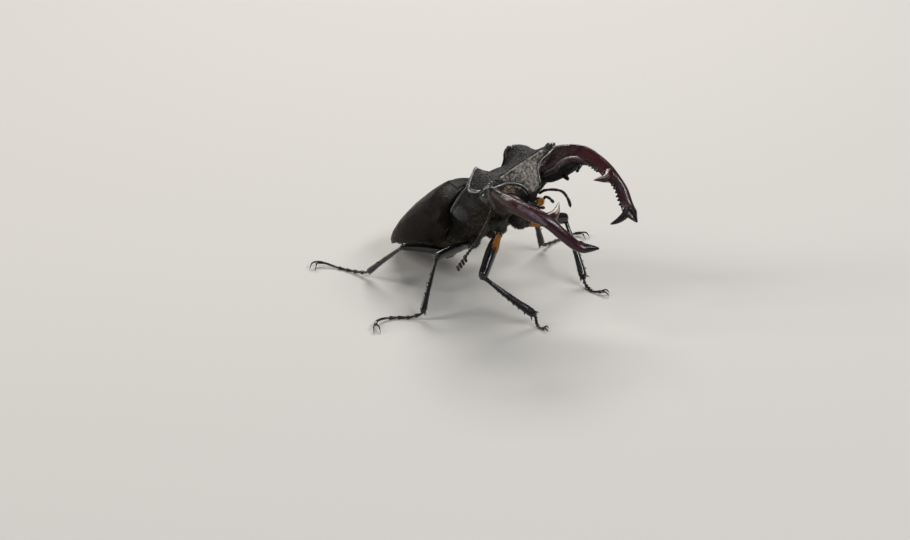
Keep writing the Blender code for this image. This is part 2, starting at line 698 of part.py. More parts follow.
def leg(shop, name, plan, floor):
    kind = name.split("_")[0]
    hip = shop.matrices[plan["section"]] @ Vector(plan["hip"])
    knee, ankle = Vector(plan["knee"]), Vector(plan["ankle"])
    thigh, shin = (knee - hip).normalized(), (ankle - knee).normalized()

    inward = -1 if plan["hip"][1] > 0 else 1
    centre = Vector(plan["hip"]) + Vector((0, 0.5 * inward, COXA_RADII[kind][2] - 1.2))
    coxa = ball("coxa_" + name, centre, COXA_RADII[kind], 8, 5)
    coxa = shop.add("leg_" + name + "_coxa", coxa, plan["section"], "leg")

    start, end = hip + thigh * 1.15, knee + thigh * 0.35
    profile = scaled(FEMUR_PROFILE, STOUTNESS[kind])
    femur = limb_mesh("femur_" + name, (end - start).length, profile, 0.85, 2)
    femur = shop.add("leg_" + name + "_femur", femur, "ground", "leg")
    femur.matrix_basis = limb_place(start, end, Vector((0, 0, 1)))

    profile = FRONT_TIBIA_PROFILE if kind == "front" else TIBIA_PROFILE
    length = (ankle - knee).length
    tibia = limb_mesh("tibia_" + name, length, profile, 0.72 if kind == "front" else 0.85, 1)
    tibia = shop.add("leg_" + name + "_tibia", tibia, "ground", "leg")
    tibia.matrix_basis = limb_place(knee, ankle, thigh)
    teeth = []
    for share in TIBIA_TEETH[kind]:
        radius = between(profile, share)[0]
        teeth.append(((share * length - 0.1, 0, radius - 0.35), (share * length + 0.35, 0, radius + 0.42)))
    teeth.append(((0.95 * length, 0.1, 0.45), (length + 0.6, 0.1, 0.95)))
    shop.join_on(tibia, spikes("teeth_" + name, teeth, 0.3, 4))

    route = smooth_route((ankle + shin * 0.25,) + plan["foot"], 6)
    centres = at_shares(route, TARSUS_SHARES)
    tarsus = shop.add("leg_" + name + "_tarsus", tube("tarsus_" + name, centres, TARSUS_RADII),
                      "ground", "leg")
    shop.join_on(tarsus, claws("claws_" + name, centres[-1], plan["reach"]))

    shop.keep_clear(femur, coxa, FINE_GAP)
    shop.keep_clear(femur, tibia, FINE_GAP)
    shop.keep_clear(tarsus, tibia, FINE_GAP)
    flat = tarsus.modifiers.new("stand flat", "BOOLEAN")
    flat.operation = "DIFFERENCE"
    flat.object = floor
    return coxa


def floor_cutter(shop):
    """A slab under the ground that gives each foot its small flat."""
    bm = bmesh.new()
    bmesh.ops.create_cube(bm, size=1.0)
    bmesh.ops.scale(bm, vec=(120 * MM, 120 * MM, 10 * MM), verts=bm.verts)
    bmesh.ops.translate(bm, vec=(0, 0, -5 * MM), verts=bm.verts)
    slab = bpy.data.objects.new("ground_slab", mesh_from(bm, "ground_slab"))
    shop.cutters.objects.link(slab)
    slab.parent = shop.frames["ground"]
    slab.hide_render = True
    slab.display_type = "WIRE"
    return slab


# ---------------------------------------------------------------- assembly

def centre_on_origin(shop):
    """Moves the whole beetle so that its box stands centred over the origin."""
    bpy.context.view_layer.update()
    graph = bpy.context.evaluated_depsgraph_get()
    low, high = Vector((1e9,) * 3), Vector((-1e9,) * 3)
    for obj in shop.parts.objects:
        if obj.type != "MESH":
            continue
        evaluated = obj.evaluated_get(graph)
        for vertex in evaluated.data.vertices:
            point = evaluated.matrix_world @ vertex.co
            low = Vector(map(min, low, point))
            high = Vector(map(max, high, point))
    shop.frames["root"].location = (-(low.x + high.x) / 2, -(low.y + high.y) / 2, -low.z)
    bpy.context.view_layer.update()


def build():
    shop = Workshop()
    left_case, right_case = elytra(shop)
    shield = scutellum(shop)
    abdomen(shop)
    thorax = hind_thorax(shop)
    pro = prothorax(shop)
    skull = head(shop)
    eye_pair = eyes(shop)
    lip = labrum(shop)
    jaw_pair = jaws(shop)
    palp_set = palps(shop)
    scapes = antennae(shop)
    floor = floor_cutter(shop)
    hips = {name: leg(shop, name, plan, floor) for name, plan in LEGS.items()}

    for case in (left_case, right_case):
        shop.keep_clear(case, shield)
        shop.keep_clear(case, pro)
    shop.keep_clear(shield, pro)
    shop.keep_clear(thorax, shield)
    shop.keep_clear(thorax, pro)
    shop.keep_clear(pro, skull)
    for piece in eye_pair + jaw_pair + scapes + palp_set[:2]:
        shop.keep_clear(skull, piece, FINE_GAP)
    shop.keep_clear(lip, skull)
    for name, hip in hips.items():
        shop.keep_clear(pro if name.startswith("front") else thorax, hip, FINE_GAP)
    centre_on_origin(shop)


build()
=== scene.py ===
# Male stag beetle (Lucanus cervus) in its threat posture, life size: the looks.
from math import cos, pi, radians, sin
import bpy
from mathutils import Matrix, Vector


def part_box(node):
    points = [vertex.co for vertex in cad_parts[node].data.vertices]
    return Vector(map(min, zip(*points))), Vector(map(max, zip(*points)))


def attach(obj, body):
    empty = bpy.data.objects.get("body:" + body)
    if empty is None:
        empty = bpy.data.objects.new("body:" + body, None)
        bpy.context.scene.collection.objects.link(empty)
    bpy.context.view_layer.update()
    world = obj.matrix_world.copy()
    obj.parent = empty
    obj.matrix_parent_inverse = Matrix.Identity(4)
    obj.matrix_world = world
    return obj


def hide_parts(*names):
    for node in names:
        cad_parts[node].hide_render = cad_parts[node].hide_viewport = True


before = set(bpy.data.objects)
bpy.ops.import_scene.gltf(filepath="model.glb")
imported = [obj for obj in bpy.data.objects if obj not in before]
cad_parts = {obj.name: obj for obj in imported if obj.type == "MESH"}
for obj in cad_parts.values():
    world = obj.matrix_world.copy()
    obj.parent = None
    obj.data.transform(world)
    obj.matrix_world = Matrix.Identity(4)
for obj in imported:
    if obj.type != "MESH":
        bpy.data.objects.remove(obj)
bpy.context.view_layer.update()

from types import SimpleNamespace

import bmesh
import bpy
import numpy as np
from mathutils import Matrix, Vector

mm = 0.001
rng = np.random.default_rng(7)

# Shapes below are in millimetres in the frame of the body section they belong to:
# x to the front, y to the left, z to the back of the beetle.
stance = {
    "hindPitch": 33.0, "prothoraxPitch": 60.0, "headPitch": 1.0, "headRoll": 5.5,
    "prothoraxLength": 9.3, "betweenEyes": (4.7, 0.0, 1.4),  # in the head's frame
}


def turned(pitch, roll=0.0):
    return Matrix.Rotation(radians(-pitch), 4, "Y") @ Matrix.Rotation(radians(roll), 4, "X")


def middleOf(node):
    low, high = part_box(node)
    return (low + high) / 2 / mm


def sectionFrames():
    headTurn = turned(stance["headPitch"], stance["headRoll"])
    eyes = (middleOf("eye_left") + middleOf("eye_right")) / 2
    neck = eyes - headTurn @ Vector(stance["betweenEyes"])
    waist = neck - turned(stance["prothoraxPitch"]) @ Vector((stance["prothoraxLength"], 0, 0))
    return {
        "head": Matrix.Translation(neck) @ headTurn,
        "prothorax": Matrix.Translation(waist) @ turned(stance["prothoraxPitch"]),
        "hind": Matrix.Translation(waist) @ turned(stance["hindPitch"]),
        "ground": Matrix.Translation((waist.x, waist.y, 0)),
    }


sections = sectionFrames()
print("frame read: waist", [round(v, 2) for v in sections["hind"].translation])


# Camera, floor and soft studio light

studio = {
    "eye": (216.72, -266.87, 187.03),  # in mm, from the point of the floor under the waist
    "azimuth": 130.0, "down": 28.3, "lens": 70.8,
    "floor": (0.50, 0.48, 0.45), "floorRough": 0.75, "floorHalf": 3.0,
    "sky": (0.80, 0.87, 0.97), "skyStrength": 0.15, "aimHeight": 0.01,
    # where each soft box hangs: turn from +X, height above the ground, distance, size, watts, colour
    "boxes": {
        "backLight": (128, 44, 0.60, (0.42, 0.17), 3.0, (1.0, 0.98, 0.95)),
        "sideLight": (8, 46, 0.60, (0.42, 0.075), 2.0, (0.96, 0.98, 1.0)),
        "leftLight": (-136, 30, 0.60, (0.055, 0.46), 2.0, (1.0, 0.98, 0.95)),
        "frontFill": (-80, 40, 0.70, (0.60, 0.30), 0.45, (1.0, 0.97, 0.92)),
    },
}


def addCamera():
    data = bpy.data.cameras.new("camera")
    data.lens, data.sensor_width = studio["lens"], 36.0
    data.clip_start, data.clip_end = 0.01, 20.0
    camera = bpy.data.objects.new("camera", data)
    bpy.context.scene.collection.objects.link(camera)
    foot = sections["ground"].translation
    camera.location = (Vector(studio["eye"]) + foot) * mm
    turn, down = radians(studio["azimuth"]), radians(studio["down"])
    ahead = Vector((cos(turn) * cos(down), sin(turn) * cos(down), -sin(down)))
    camera.rotation_mode = "QUATERNION"
    camera.rotation_quaternion = ahead.to_track_quat("-Z", "Y")
    bpy.context.scene.camera = camera


def newMaterial(name):
    material = bpy.data.materials.new(name)
    material.use_nodes = True
    return material, material.node_tree.nodes["Principled BSDF"]


def addFloor():
    half = studio["floorHalf"]
    corners = [(-half, -half, 0), (half, -half, 0), (half, half, 0), (-half, half, 0)]
    mesh = bpy.data.meshes.new("floor")
    mesh.from_pydata(corners, [], [(0, 1, 2, 3)])
    floor = bpy.data.objects.new("floor", mesh)
    bpy.context.scene.collection.objects.link(floor)
    material, shader = newMaterial("pale floor")
    shader.inputs["Base Color"].default_value = (*studio["floor"], 1.0)
    shader.inputs["Roughness"].default_value = studio["floorRough"]
    mesh.materials.append(material)


def addLights():
    world = bpy.data.worlds.new("studio")
    bpy.context.scene.world = world
    world.use_nodes = True
    background = world.node_tree.nodes["Background"]
    background.inputs["Color"].default_value = (*studio["sky"], 1.0)
    background.inputs["Strength"].default_value = studio["skyStrength"]
    bpy.context.scene.view_settings.view_transform = "Standard"
    for name, (turn, rise, far, size, watts, colour) in studio["boxes"].items():
        data = bpy.data.lights.new(name, "AREA")
        data.shape, data.size, data.size_y = "RECTANGLE", *size
        data.energy, data.color = watts, colour
        light = bpy.data.objects.new(name, data)
        bpy.context.scene.collection.objects.link(light)
        turn, rise = radians(turn), radians(rise)
        way = Vector((cos(turn) * cos(rise), sin(turn) * cos(rise), sin(rise)))
        light.location = way * far + Vector((0, 0, studio["aimHeight"]))
        light.rotation_mode = "QUATERNION"
        light.rotation_quaternion = (-way).to_track_quat("-Z", "Y")


addCamera()
addFloor()
addLights()
print("studio:", len(studio["boxes"]), "soft boxes")


# Curves, rows and grids of points

def through(table, at):
    # smooth values at these places from rows of (place, value, ...), never past the rows' own values
    table = np.array(table, float)
    x, y = table[:, 0], table[:, 1:]
    step = np.diff(x)[:, None]
    slope = np.diff(y, axis=0) / step
    tangent = np.zeros_like(y)
    both = slope[:-1] * slope[1:]
    total = np.where(np.abs(slope[:-1] + slope[1:]) < 1e-12, 1.0, slope[:-1] + slope[1:])
    tangent[1:-1] = np.where(both > 0, 2 * both / total, 0)
    tangent[0], tangent[-1] = slope[0], slope[-1]
    at = np.clip(np.atleast_1d(np.asarray(at, float)), x[0], x[-1])
    k = np.clip(np.searchsorted(x, at, side="right") - 1, 0, len(x) - 2)
    t = ((at - x[k]) / step[k, 0])[:, None]
    h = step[k]
    return ((2 * t ** 3 - 3 * t ** 2 + 1) * y[k] + (t ** 3 - 2 * t ** 2 + t) * h * tangent[k]
            + (3 * t ** 2 - 2 * t ** 3) * y[k + 1] + (t ** 3 - t ** 2) * h * tangent[k + 1])


def alongStations(stations, rows, watched=6):
    # rows spread evenly over how far the stations' first values travel
    table = np.array(stations, float)
    run = np.concatenate([[0], np.cumsum(np.linalg.norm(np.diff(table[:, :watched], axis=0), axis=1))])
    return through(np.column_stack([run, table]), np.linspace(0, run[-1], rows))


def route(points, rows, shares=None):
    # evenly spaced points on a smooth curve through the given ones
    knots = np.array(points, float)
    knots = np.vstack([2 * knots[0] - knots[1], knots, 2 * knots[-1] - knots[-2]])
    fine = []
    for a, b, c, d in zip(knots, knots[1:], knots[2:], knots[3:]):
        t = np.linspace(0, 1, 24, endpoint=False)[:, None]
        fine.append(0.5 * (2 * b + (c - a) * t + (2 * a - 5 * b + 4 * c - d) * t ** 2
                           + (3 * b - a - 3 * c + d) * t ** 3))
    fine = np.vstack(fine + [knots[-2:-1]])
    run = np.concatenate([[0], np.cumsum(np.linalg.norm(np.diff(fine, axis=0), axis=1))])
    want = np.linspace(0, 1, rows) if shares is None else np.asarray(shares)
    return np.column_stack([np.interp(want * run[-1], run, fine[:, i]) for i in range(3)])


def unit(vectors):
    return vectors / np.maximum(np.linalg.norm(vectors, axis=-1, keepdims=True), 1e-12)


def sweep(line, upward, width, above, below, sides=32, lean=0.0, squareness=1.0):
    # rings round a line; upward is the way its top faces, and lean turns the top outwards
    rows = len(line)
    ahead = unit(np.gradient(line, axis=0))
    across = unit(np.cross(np.broadcast_to(upward, line.shape), ahead))
    top = np.cross(ahead, across)
    width, above, below, lean = (np.broadcast_to(v, rows)[:, None, None] for v in (width, above, below, lean))
    leant = across[:, None] * np.cos(lean) - top[:, None] * np.sin(lean)
    top = top[:, None] * np.cos(lean) + across[:, None] * np.sin(lean)
    angle = np.linspace(0, 2 * pi, sides, endpoint=False)[None, :, None]
    c, s = np.cos(angle), np.sin(angle)
    c, s = np.sign(c) * np.abs(c) ** squareness, np.sign(s) * np.abs(s) ** squareness
    return line[:, None] + leant * width * c + top * np.where(s > 0, above, below) * s


def roundEnds(rings, rows=5):
    # closes both ends of a sweep with a small dome
    def dome(first, second):
        middle, nextMiddle = first.mean(0), second.mean(0)
        out = unit(middle - nextMiddle) * np.linalg.norm(first - middle, axis=1).mean() * 0.6
        turns = np.linspace(0, pi / 2, rows + 1)[1:-1]
        return [middle + out * sin(t) + (first - middle) * cos(t) for t in turns]
    start, end = dome(rings[0], rings[1]), dome(rings[-1], rings[-2])
    return np.concatenate([np.array(start[::-1]), rings, np.array(end)])


def relaxed(rings, times):
    # softens a closed grid of rings a little
    for _ in range(times):
        around = (np.roll(rings, 1, 1) + np.roll(rings, -1, 1)) / 2
        along = rings.copy()
        along[1:-1] = (rings[:-2] + rings[2:]) / 2
        rings = rings * 0.5 + around * 0.25 + along * 0.25
    return rings


def skinOver(name, rings, tips=None):
    # a closed mesh over rings with the same number of points, its ends shut by fans
    rows, count = rings.shape[:2]
    tips = (rings[0].mean(0), rings[-1].mean(0)) if tips is None else tips
    points = np.vstack([rings.reshape(-1, 3), *tips])
    near, i = np.arange(rows - 1)[:, None] * count, np.arange(count)[None, :]
    j = (i + 1) % count
    quads = np.stack([near + i, near + j, near + count + j, near + count + i], -1).reshape(-1, 4)
    first, last, base = len(points) - 2, len(points) - 1, (rows - 1) * count
    faces = quads.tolist() + [(first, (k + 1) % count, k) for k in range(count)]
    faces += [(last, base + k, base + (k + 1) % count) for k in range(count)]
    mesh = bpy.data.meshes.new(name)
    mesh.from_pydata(points.tolist(), [], faces)
    bm = bmesh.new()
    bm.from_mesh(mesh)
    bmesh.ops.recalc_face_normals(bm, faces=bm.faces)
    bm.to_mesh(mesh)
    bm.free()
    return mesh


def pointsOf(mesh):
    points = np.empty(len(mesh.vertices) * 3)
    mesh.vertices.foreach_get("co", points)
    return points.reshape(-1, 3)


def normalsOf(mesh):
    normals = np.empty(len(mesh.vertices) * 3)
    mesh.vertices.foreach_get("normal", normals)
    return normals.reshape(-1, 3)


def setPoints(mesh, points):
    mesh.vertices.foreach_set("co", points.ravel())
    mesh.update()


def push(mesh, amounts):
    setPoints(mesh, pointsOf(mesh) + normalsOf(mesh) * amounts[:, None])


def mask(mesh, name, values):
    layer = mesh.attributes.get(name) or mesh.attributes.new(name, "FLOAT", "POINT")
    layer.data.foreach_set("value", np.clip(values, 0, 1).astype(np.float32))


def bump(distance, reach):
    # 1 at no distance, falling smoothly to 0 at reach
    return np.clip(1 - (distance / reach) ** 2, 0, 1) ** 2


def step(low, high, values):
    t = np.clip((values - low) / (high - low), 0, 1)
    return t * t * (3 - 2 * t)


def mirrored(mesh):
    copy = mesh.copy()
    setPoints(copy, pointsOf(copy) * (1, -1, 1))
    copy.flip_normals()
    return copy


def together(name, meshes):
    bm = bmesh.new()
    for mesh in meshes:
        bm.from_mesh(mesh)
        bpy.data.meshes.remove(mesh)
    mesh = bpy.data.meshes.new(name)
    bm.to_mesh(mesh)
    bm.free()
    return mesh


def fuse(name, meshes, voxel, relaxing=2):
    # one skin over several overlapping closed meshes, with softened joins
    work = bpy.data.objects.new(name, together(name, meshes))
    bpy.context.scene.collection.objects.link(work)
    remesh = work.modifiers.new("fuse", "REMESH")
    remesh.mode = "VOXEL"
    remesh.voxel_size = voxel
    soften = work.modifiers.new("soften", "SMOOTH")
    soften.iterations = relaxing
    soften.factor = 0.5
    mesh = bpy.data.meshes.new_from_object(work.evaluated_get(bpy.context.evaluated_depsgraph_get()))
    bpy.data.objects.remove(work, do_unlink=True)
    mesh.name = name
    return mesh


def tube(name, line, upward, width, above, below, sides, ends=5):
    rings = sweep(line, np.array(upward, float), width, above, below, sides)
    return skinOver(name, roundEnds(rings, ends))


def bead(path, radius, rows=160):
    # a thin raised rim that follows a path and fades at both ends
    share = np.linspace(0, 1, rows)
    size = radius * np.minimum(1, np.minimum(share, 1 - share) / 0.05 + 0.25)
    return tube("bead", route(path, rows), (0.3, 0.2, 1.0), size, size, size, 10, 2)


def laidOn(mesh, path, proud=0.0, rows=160):
    # the path moved onto the nearest skin, then smoothed
    points, normals = pointsOf(mesh), normalsOf(mesh)
    spots = route(path, rows)
    at = [np.argmin(((points - spot) ** 2).sum(1)) for spot in spots]
    line = points[at] + normals[at] * proud
    for _ in range(12):
        line[1:-1] = (line[:-2] + 2 * line[1:-1] + line[2:]) / 4
    return line


def ball(name, centre, radii, segments, rings):
    down = np.linspace(0, pi, rings + 1)[1:-1, None]
    around = np.linspace(0, 2 * pi, segments, endpoint=False)[None, :]
    sphere = np.stack([np.sin(down) * np.cos(around), np.sin(down) * np.sin(around),
                       np.cos(down) + 0 * around], -1)
    tips = np.array(((0, 0, 1.0), (0, 0, -1.0)))
    return skinOver(name, sphere * radii + np.array(centre), tips * radii + np.array(centre))


def scatter(mesh, count, weight):
    # random places on a mesh, more of them where the weight given for each point is higher
    mesh.calc_loop_triangles()
    faces = np.empty(len(mesh.loop_triangles) * 3, int)
    mesh.loop_triangles.foreach_get("vertices", faces)
    faces = faces.reshape(-1, 3)
    points, normals = pointsOf(mesh), normalsOf(mesh)
    a, b, c = (points[faces[:, k]] for k in range(3))
    chance = np.linalg.norm(np.cross(b - a, c - a), axis=1) * weight[faces].mean(1)
    if chance.sum() <= 0:
        return np.zeros((0, 3)), np.zeros((0, 3))
    picked = faces[rng.choice(len(faces), count, p=chance / chance.sum())]
    share = rng.dirichlet((1, 1, 1), count)[..., None]
    return (points[picked] * share).sum(1), unit((normals[picked] * share).sum(1))


hairShape = {
    "share": (0.0, 0.35, 0.7, 1.0), "width": (1.0, 0.85, 0.55, 0.0),  # how a hair thins from root to tip
    "sunk": 0.05, "untidy": 0.28,
    # the small patch of the map that each hair has, one place for each of its ten points
    "patch": ((0, 0), (0.003, 0), (0.0015, 0.001), (0, 0.001), (0.003, 0.001), (0.0015, 0.002),
              (0, 0.002), (0.003, 0.002), (0.0015, 0.0025), (0.0015, 0.003)),
}


def unrolled(roots, axis):
    # each root's place on a map that unrolls the skin round its long axis
    axis = np.asarray(axis, float)
    across = unit(np.cross((0.13, 0.2, 1.0), axis))
    spread = roots - roots.mean(0)
    around = np.arctan2(spread @ np.cross(axis, across), spread @ across) / (2 * pi) + 0.5
    down = spread @ axis
    down = (down - down.min()) / max(np.ptp(down), 1e-6)
    return np.stack([around, down], 1) * 0.99 + 0.003


def bristles(name, mesh, weight, coat, section, way=None, axis=(1.0, 0, 0)):
    # one joined mesh of thin curved three-sided hairs, rooted where the weight is; they lie along way,
    # which may be a function of their roots
    roots, normals = scatter(mesh, coat["count"], weight)
    count = len(roots)
    way = coat["lie"] if way is None else way
    way = np.broadcast_to(np.asarray(way(roots) if callable(way) else way, float), roots.shape)
    way = way + rng.normal(0, hairShape["untidy"], roots.shape)
    along = unit(way - normals * (way * normals).sum(1, keepdims=True))
    length = coat["length"] * rng.uniform(0.65, 1.2, count)[:, None]
    rise = coat["stand"] * rng.uniform(0.6, 1.4, count)[:, None]
    side = np.cross(normals, along)
    width = coat["thick"] * np.array(hairShape["width"])
    feet = roots - normals * hairShape["sunk"]
    spine = [feet + length * (along * t + normals * rise * (t - 0.45 * t * t)) for t in hairShape["share"]]
    rings = []
    for middle, wide in zip(spine[:3], width[:3]):
        for angle in (pi / 2, pi * 7 / 6, pi * 11 / 6):
            rings.append(middle + wide * (side * cos(angle) + normals * sin(angle)))
    points = np.stack(rings + [spine[3]], 1)
    faces = []
    for row in (0, 3):
        for k in range(3):
            a, b = row + k, row + (k + 1) % 3
            faces += [(a, b, b + 3), (a, b + 3, a + 3)]
    faces += [(6, 7, 9), (7, 8, 9), (8, 6, 9), (2, 1, 0)]
    every = (np.array(faces)[None] + 10 * np.arange(count)[:, None, None]).reshape(-1, 3)
    hairs = bpy.data.meshes.new(name)
    hairs.from_pydata(points.reshape(-1, 3), [], every)
    spots = (unrolled(roots, axis)[:, None] + np.array(hairShape["patch"])[None]).reshape(-1, 2)
    corners = np.empty(len(hairs.loops), int)
    hairs.loops.foreach_get("vertex_index", corners)
    layer = hairs.uv_layers.new(name="OFBake")
    layer.data.foreach_set("uv", spots[corners].astype(np.float32).ravel())
    place(name, hairs, section, hairFinishes[coat["hair"]], sharp=180)


def place(name, mesh, section, material, nodes=(), sharp=60):
    # puts a mesh made in a section's millimetres where it belongs, for these nodes
    setPoints(mesh, pointsOf(mesh) * mm)
    mesh.materials.clear()
    mesh.materials.append(material)
    mesh.shade_smooth()
    mesh.set_sharp_from_angle(angle=radians(sharp))
    mesh.name = name
    piece = bpy.data.objects.new(name, mesh)
    bpy.context.scene.collection.objects.link(piece)
    matrix = sections[section].copy()
    matrix.translation *= mm
    piece.matrix_world = matrix
    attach(piece, "root")
    if nodes:
        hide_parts(*nodes)


# Finishes: the groups put out heights and masks, and the shaders stay in each material

def newGroup(name, inputs, outputs):
    group = bpy.data.node_groups.new(name, "ShaderNodeTree")
    for label, value in inputs.items():
        socket = group.interface.new_socket(label, in_out="INPUT", socket_type="NodeSocketFloat")
        socket.default_value = value
    for label in outputs:
        group.interface.new_socket(label, in_out="OUTPUT", socket_type="NodeSocketFloat")
    tree = Wiring(group)
    return group, tree, tree.add("NodeGroupInput"), tree.add("NodeGroupOutput")


class Wiring:
    # short calls for adding and joining shader nodes
    def __init__(self, tree):
        self.tree = tree

    def add(self, kind, **values):
        node = self.tree.nodes.new(kind)
        for key, value in values.items():
            setattr(node, key, value)
        return node

    def join(self, out, into):
        self.tree.links.new(out, into)

    def feed(self, socket, value):
        if isinstance(value, (int, float)):
            socket.default_value = value
        else:
            self.join(value, socket)

    def sum(self, operation, first, second, clamp=False):
        node = self.add("ShaderNodeMath", operation=operation, use_clamp=clamp)
        self.feed(node.inputs[0], first)
        self.feed(node.inputs[1], second)
        return node.outputs[0]

    def band(self, value, low, high, toLow=0.0, toHigh=1.0):
        node = self.add("ShaderNodeMapRange", interpolation_type="SMOOTHSTEP")
        node.inputs["From Min"].default_value = low
        node.inputs["From Max"].default_value = high
        node.inputs["To Min"].default_value = toLow
        node.inputs["To Max"].default_value = toHigh
        self.join(value, node.inputs["Value"])
        return node.outputs["Result"]

    def mix(self, first, second, share):
        node = self.add("ShaderNodeMix", data_type="RGBA")
        for socket, value in ((node.inputs["A"], first), (node.inputs["B"], second)):
            if isinstance(value, tuple):
                socket.default_value = (*value, 1.0)
            else:
                self.join(value, socket)
        self.join(share, node.inputs["Factor"])
        return node.outputs["Result"]

    def painted(self, name):
        return self.add("ShaderNodeAttribute", attribute_name=name).outputs["Fac"]

    def effect(self, name, **values):
        node = self.add("ShaderNodeGroup", node_tree=groups[name])
        for label, value in values.items():
            node.inputs[label].default_value = value
        return node.outputs

    def noise(self, scale, detail, rough, spot):
        node = self.add("ShaderNodeTexNoise")
        node.inputs["Detail"].default_value = detail
        node.inputs["Roughness"].default_value = rough
        self.feed(node.inputs["Scale"], scale)
        self.join(spot, node.inputs["Vector"])
        return node.outputs["Fac"]

    def cells(self, scale, spot, smooth=0.0):
        node = self.add("ShaderNodeTexVoronoi", feature="SMOOTH_F1" if smooth else "F1")
        if smooth:
            node.inputs["Smoothness"].default_value = smooth
        self.feed(node.inputs["Scale"], scale)
        self.join(spot, node.inputs["Vector"])
        return node

    def place(self):
        return self.add("ShaderNodeTexCoord").outputs["Object"]


def grainGroup():
    # fine raised granules over a slow unevenness
    inputs = {"Granules": 6000.0, "Waves": 700.0}
    group, tree, given, made = newGroup("chitinGrain", inputs, ("Height", "Mottle"))
    spot = tree.place()
    grains = tree.cells(given.outputs["Granules"], spot, smooth=0.6).outputs["Distance"]
    waves = tree.noise(given.outputs["Waves"], 4.0, 0.6, spot)
    height = tree.sum("ADD", tree.band(grains, 0.1, 0.75, 1.0, 0.0), tree.sum("MULTIPLY", waves, 1.2))
    tree.join(height, made.inputs["Height"])
    tree.join(tree.band(waves, 0.32, 0.68), made.inputs["Mottle"])
    return group


def pitsGroup():
    # small round punctures, not all of them deep
    inputs = {"Scale": 3500.0, "Width": 0.35}
    group, tree, given, made = newGroup("chitinPits", inputs, ("Height", "Pits"))
    spot = tree.place()
    cells = tree.cells(given.outputs["Scale"], spot)
    rim = tree.sum("DIVIDE", cells.outputs["Distance"], given.outputs["Width"])
    pit = tree.band(rim, 0.35, 1.0, 1.0, 0.0)
    split = tree.add("ShaderNodeSeparateColor")
    tree.join(cells.outputs["Color"], split.inputs[0])
    deep = tree.sum("MULTIPLY", pit, tree.band(split.outputs[0], 0.15, 0.8))
    tree.join(tree.sum("MULTIPLY", deep, -1.0), made.inputs["Height"])
    tree.join(deep, made.inputs["Pits"])
    return group


def dustGroup():
    # pale dust that settles on upward faces, in flecks
    inputs = {"Amount": 0.3, "Flecks": 2500.0}
    group, tree, given, made = newGroup("settledDust", inputs, ("Dust",))
    spot = tree.place()
    facing = tree.add("ShaderNodeSeparateXYZ")
    tree.join(tree.add("ShaderNodeNewGeometry").outputs["Normal"], facing.inputs[0])
    up = tree.band(facing.outputs["Z"], -0.3, 0.9)
    film = tree.band(tree.noise(450.0, 4.0, 0.65, spot), 0.35, 0.75)
    flecks = tree.band(tree.noise(given.outputs["Flecks"], 2.0, 0.7, spot), 0.56, 0.72)
    both = tree.sum("ADD", tree.sum("MULTIPLY", film, 0.5), flecks, clamp=True)
    lying = tree.sum("MULTIPLY", both, up)
    tree.join(tree.sum("MULTIPLY", lying, given.outputs["Amount"]), made.inputs["Dust"])
    return group


groups = {"grain": grainGroup(), "pits": pitsGroup(), "dust": dustGroup()}
print("finishes:", ", ".join(groups))


def tinted(tree, tints, grain, colour, rough, height):
    # lays each tint over the colour where the mesh's mask of that name says
    for name, tint in tints.items():
        blurred = tree.sum("ADD", tree.painted(name), tree.sum("MULTIPLY", grain["Mottle"], 0.12))
        spread = tree.band(blurred, 0.1, 1.0)
        paint = tint["colour"]
        if "fleck" in tint:
            paint = tree.mix(tint["fleck"], paint, tree.band(grain["Height"], 0.55, 1.25))
        colour = tree.mix(colour, paint, spread)
        rough = tree.sum("ADD", rough, tree.sum("MULTIPLY", spread, tint["rougher"]), clamp=True)
        calm = tree.sum("MULTIPLY", spread, tint.get("calm", 0.0))
        height = tree.sum("MULTIPLY", height, tree.sum("SUBTRACT", 1.0, calm))
    return colour, rough, height


def chitin(name, look):
    # a hard shell: two mottled colours, grain, pits and dust, and tints where the mesh's masks say
    material, shader = newMaterial(name)
    tree = Wiring(material.node_tree)
    grain = tree.effect("grain", Granules=look["granules"], Waves=look.get("waves", 700.0))
    pits = tree.effect("pits", Scale=look["pits"], Width=look.get("pitWidth", 0.35))
    dust = tree.effect("dust", Amount=look["dust"])["Dust"]
    colour = tree.mix(look["colour"], look["second"], grain["Mottle"])
    rough = tree.band(grain["Mottle"], 0.0, 1.0, *look["rough"])
    pitted = tree.sum("MULTIPLY", pits["Height"], look["pitDepth"])
    if "pitMask" in look:
        pitted = tree.sum("MULTIPLY", pitted, tree.painted(look["pitMask"]))
    height = tree.sum("ADD", tree.sum("MULTIPLY", grain["Height"], look["grainDepth"]), pitted)
    colour, rough, height = tinted(tree, look.get("tints", {}), grain, colour, rough, height)
    if "pitColour" in look:
        deep = tree.sum("MULTIPLY", pits["Pits"], tree.painted(look["pitMask"]))
        colour = tree.mix(colour, look["pitColour"], deep)
    colour = tree.mix(colour, look["dustColour"], dust)
    rough = tree.sum("ADD", rough, tree.sum("MULTIPLY", dust, 0.5), clamp=True)
    relief = tree.add("ShaderNodeBump")
    relief.inputs["Strength"].default_value = 1.0
    relief.inputs["Distance"].default_value = 0.1 * mm
    tree.join(height, relief.inputs["Height"])
    tree.join(colour, shader.inputs["Base Color"])
    tree.join(rough, shader.inputs["Roughness"])
    tree.join(relief.outputs["Normal"], shader.inputs["Normal"])
    if "coatMask" in look:
        coat = tree.band(tree.painted(look["coatMask"]), 0.2, 0.8, 0.0, look["coat"])
        tree.join(coat, shader.inputs["Coat Weight"])
    else:
        shader.inputs["Coat Weight"].default_value = look.get("coat", 0.0)
    shader.inputs["Coat Roughness"].default_value = look.get("coatRough", 0.12)
    shader.inputs["IOR"].default_value = look.get("ior", 1.56)
    shader.inputs["Specular IOR Level"].default_value = look.get("shine", 0.5)
    return material


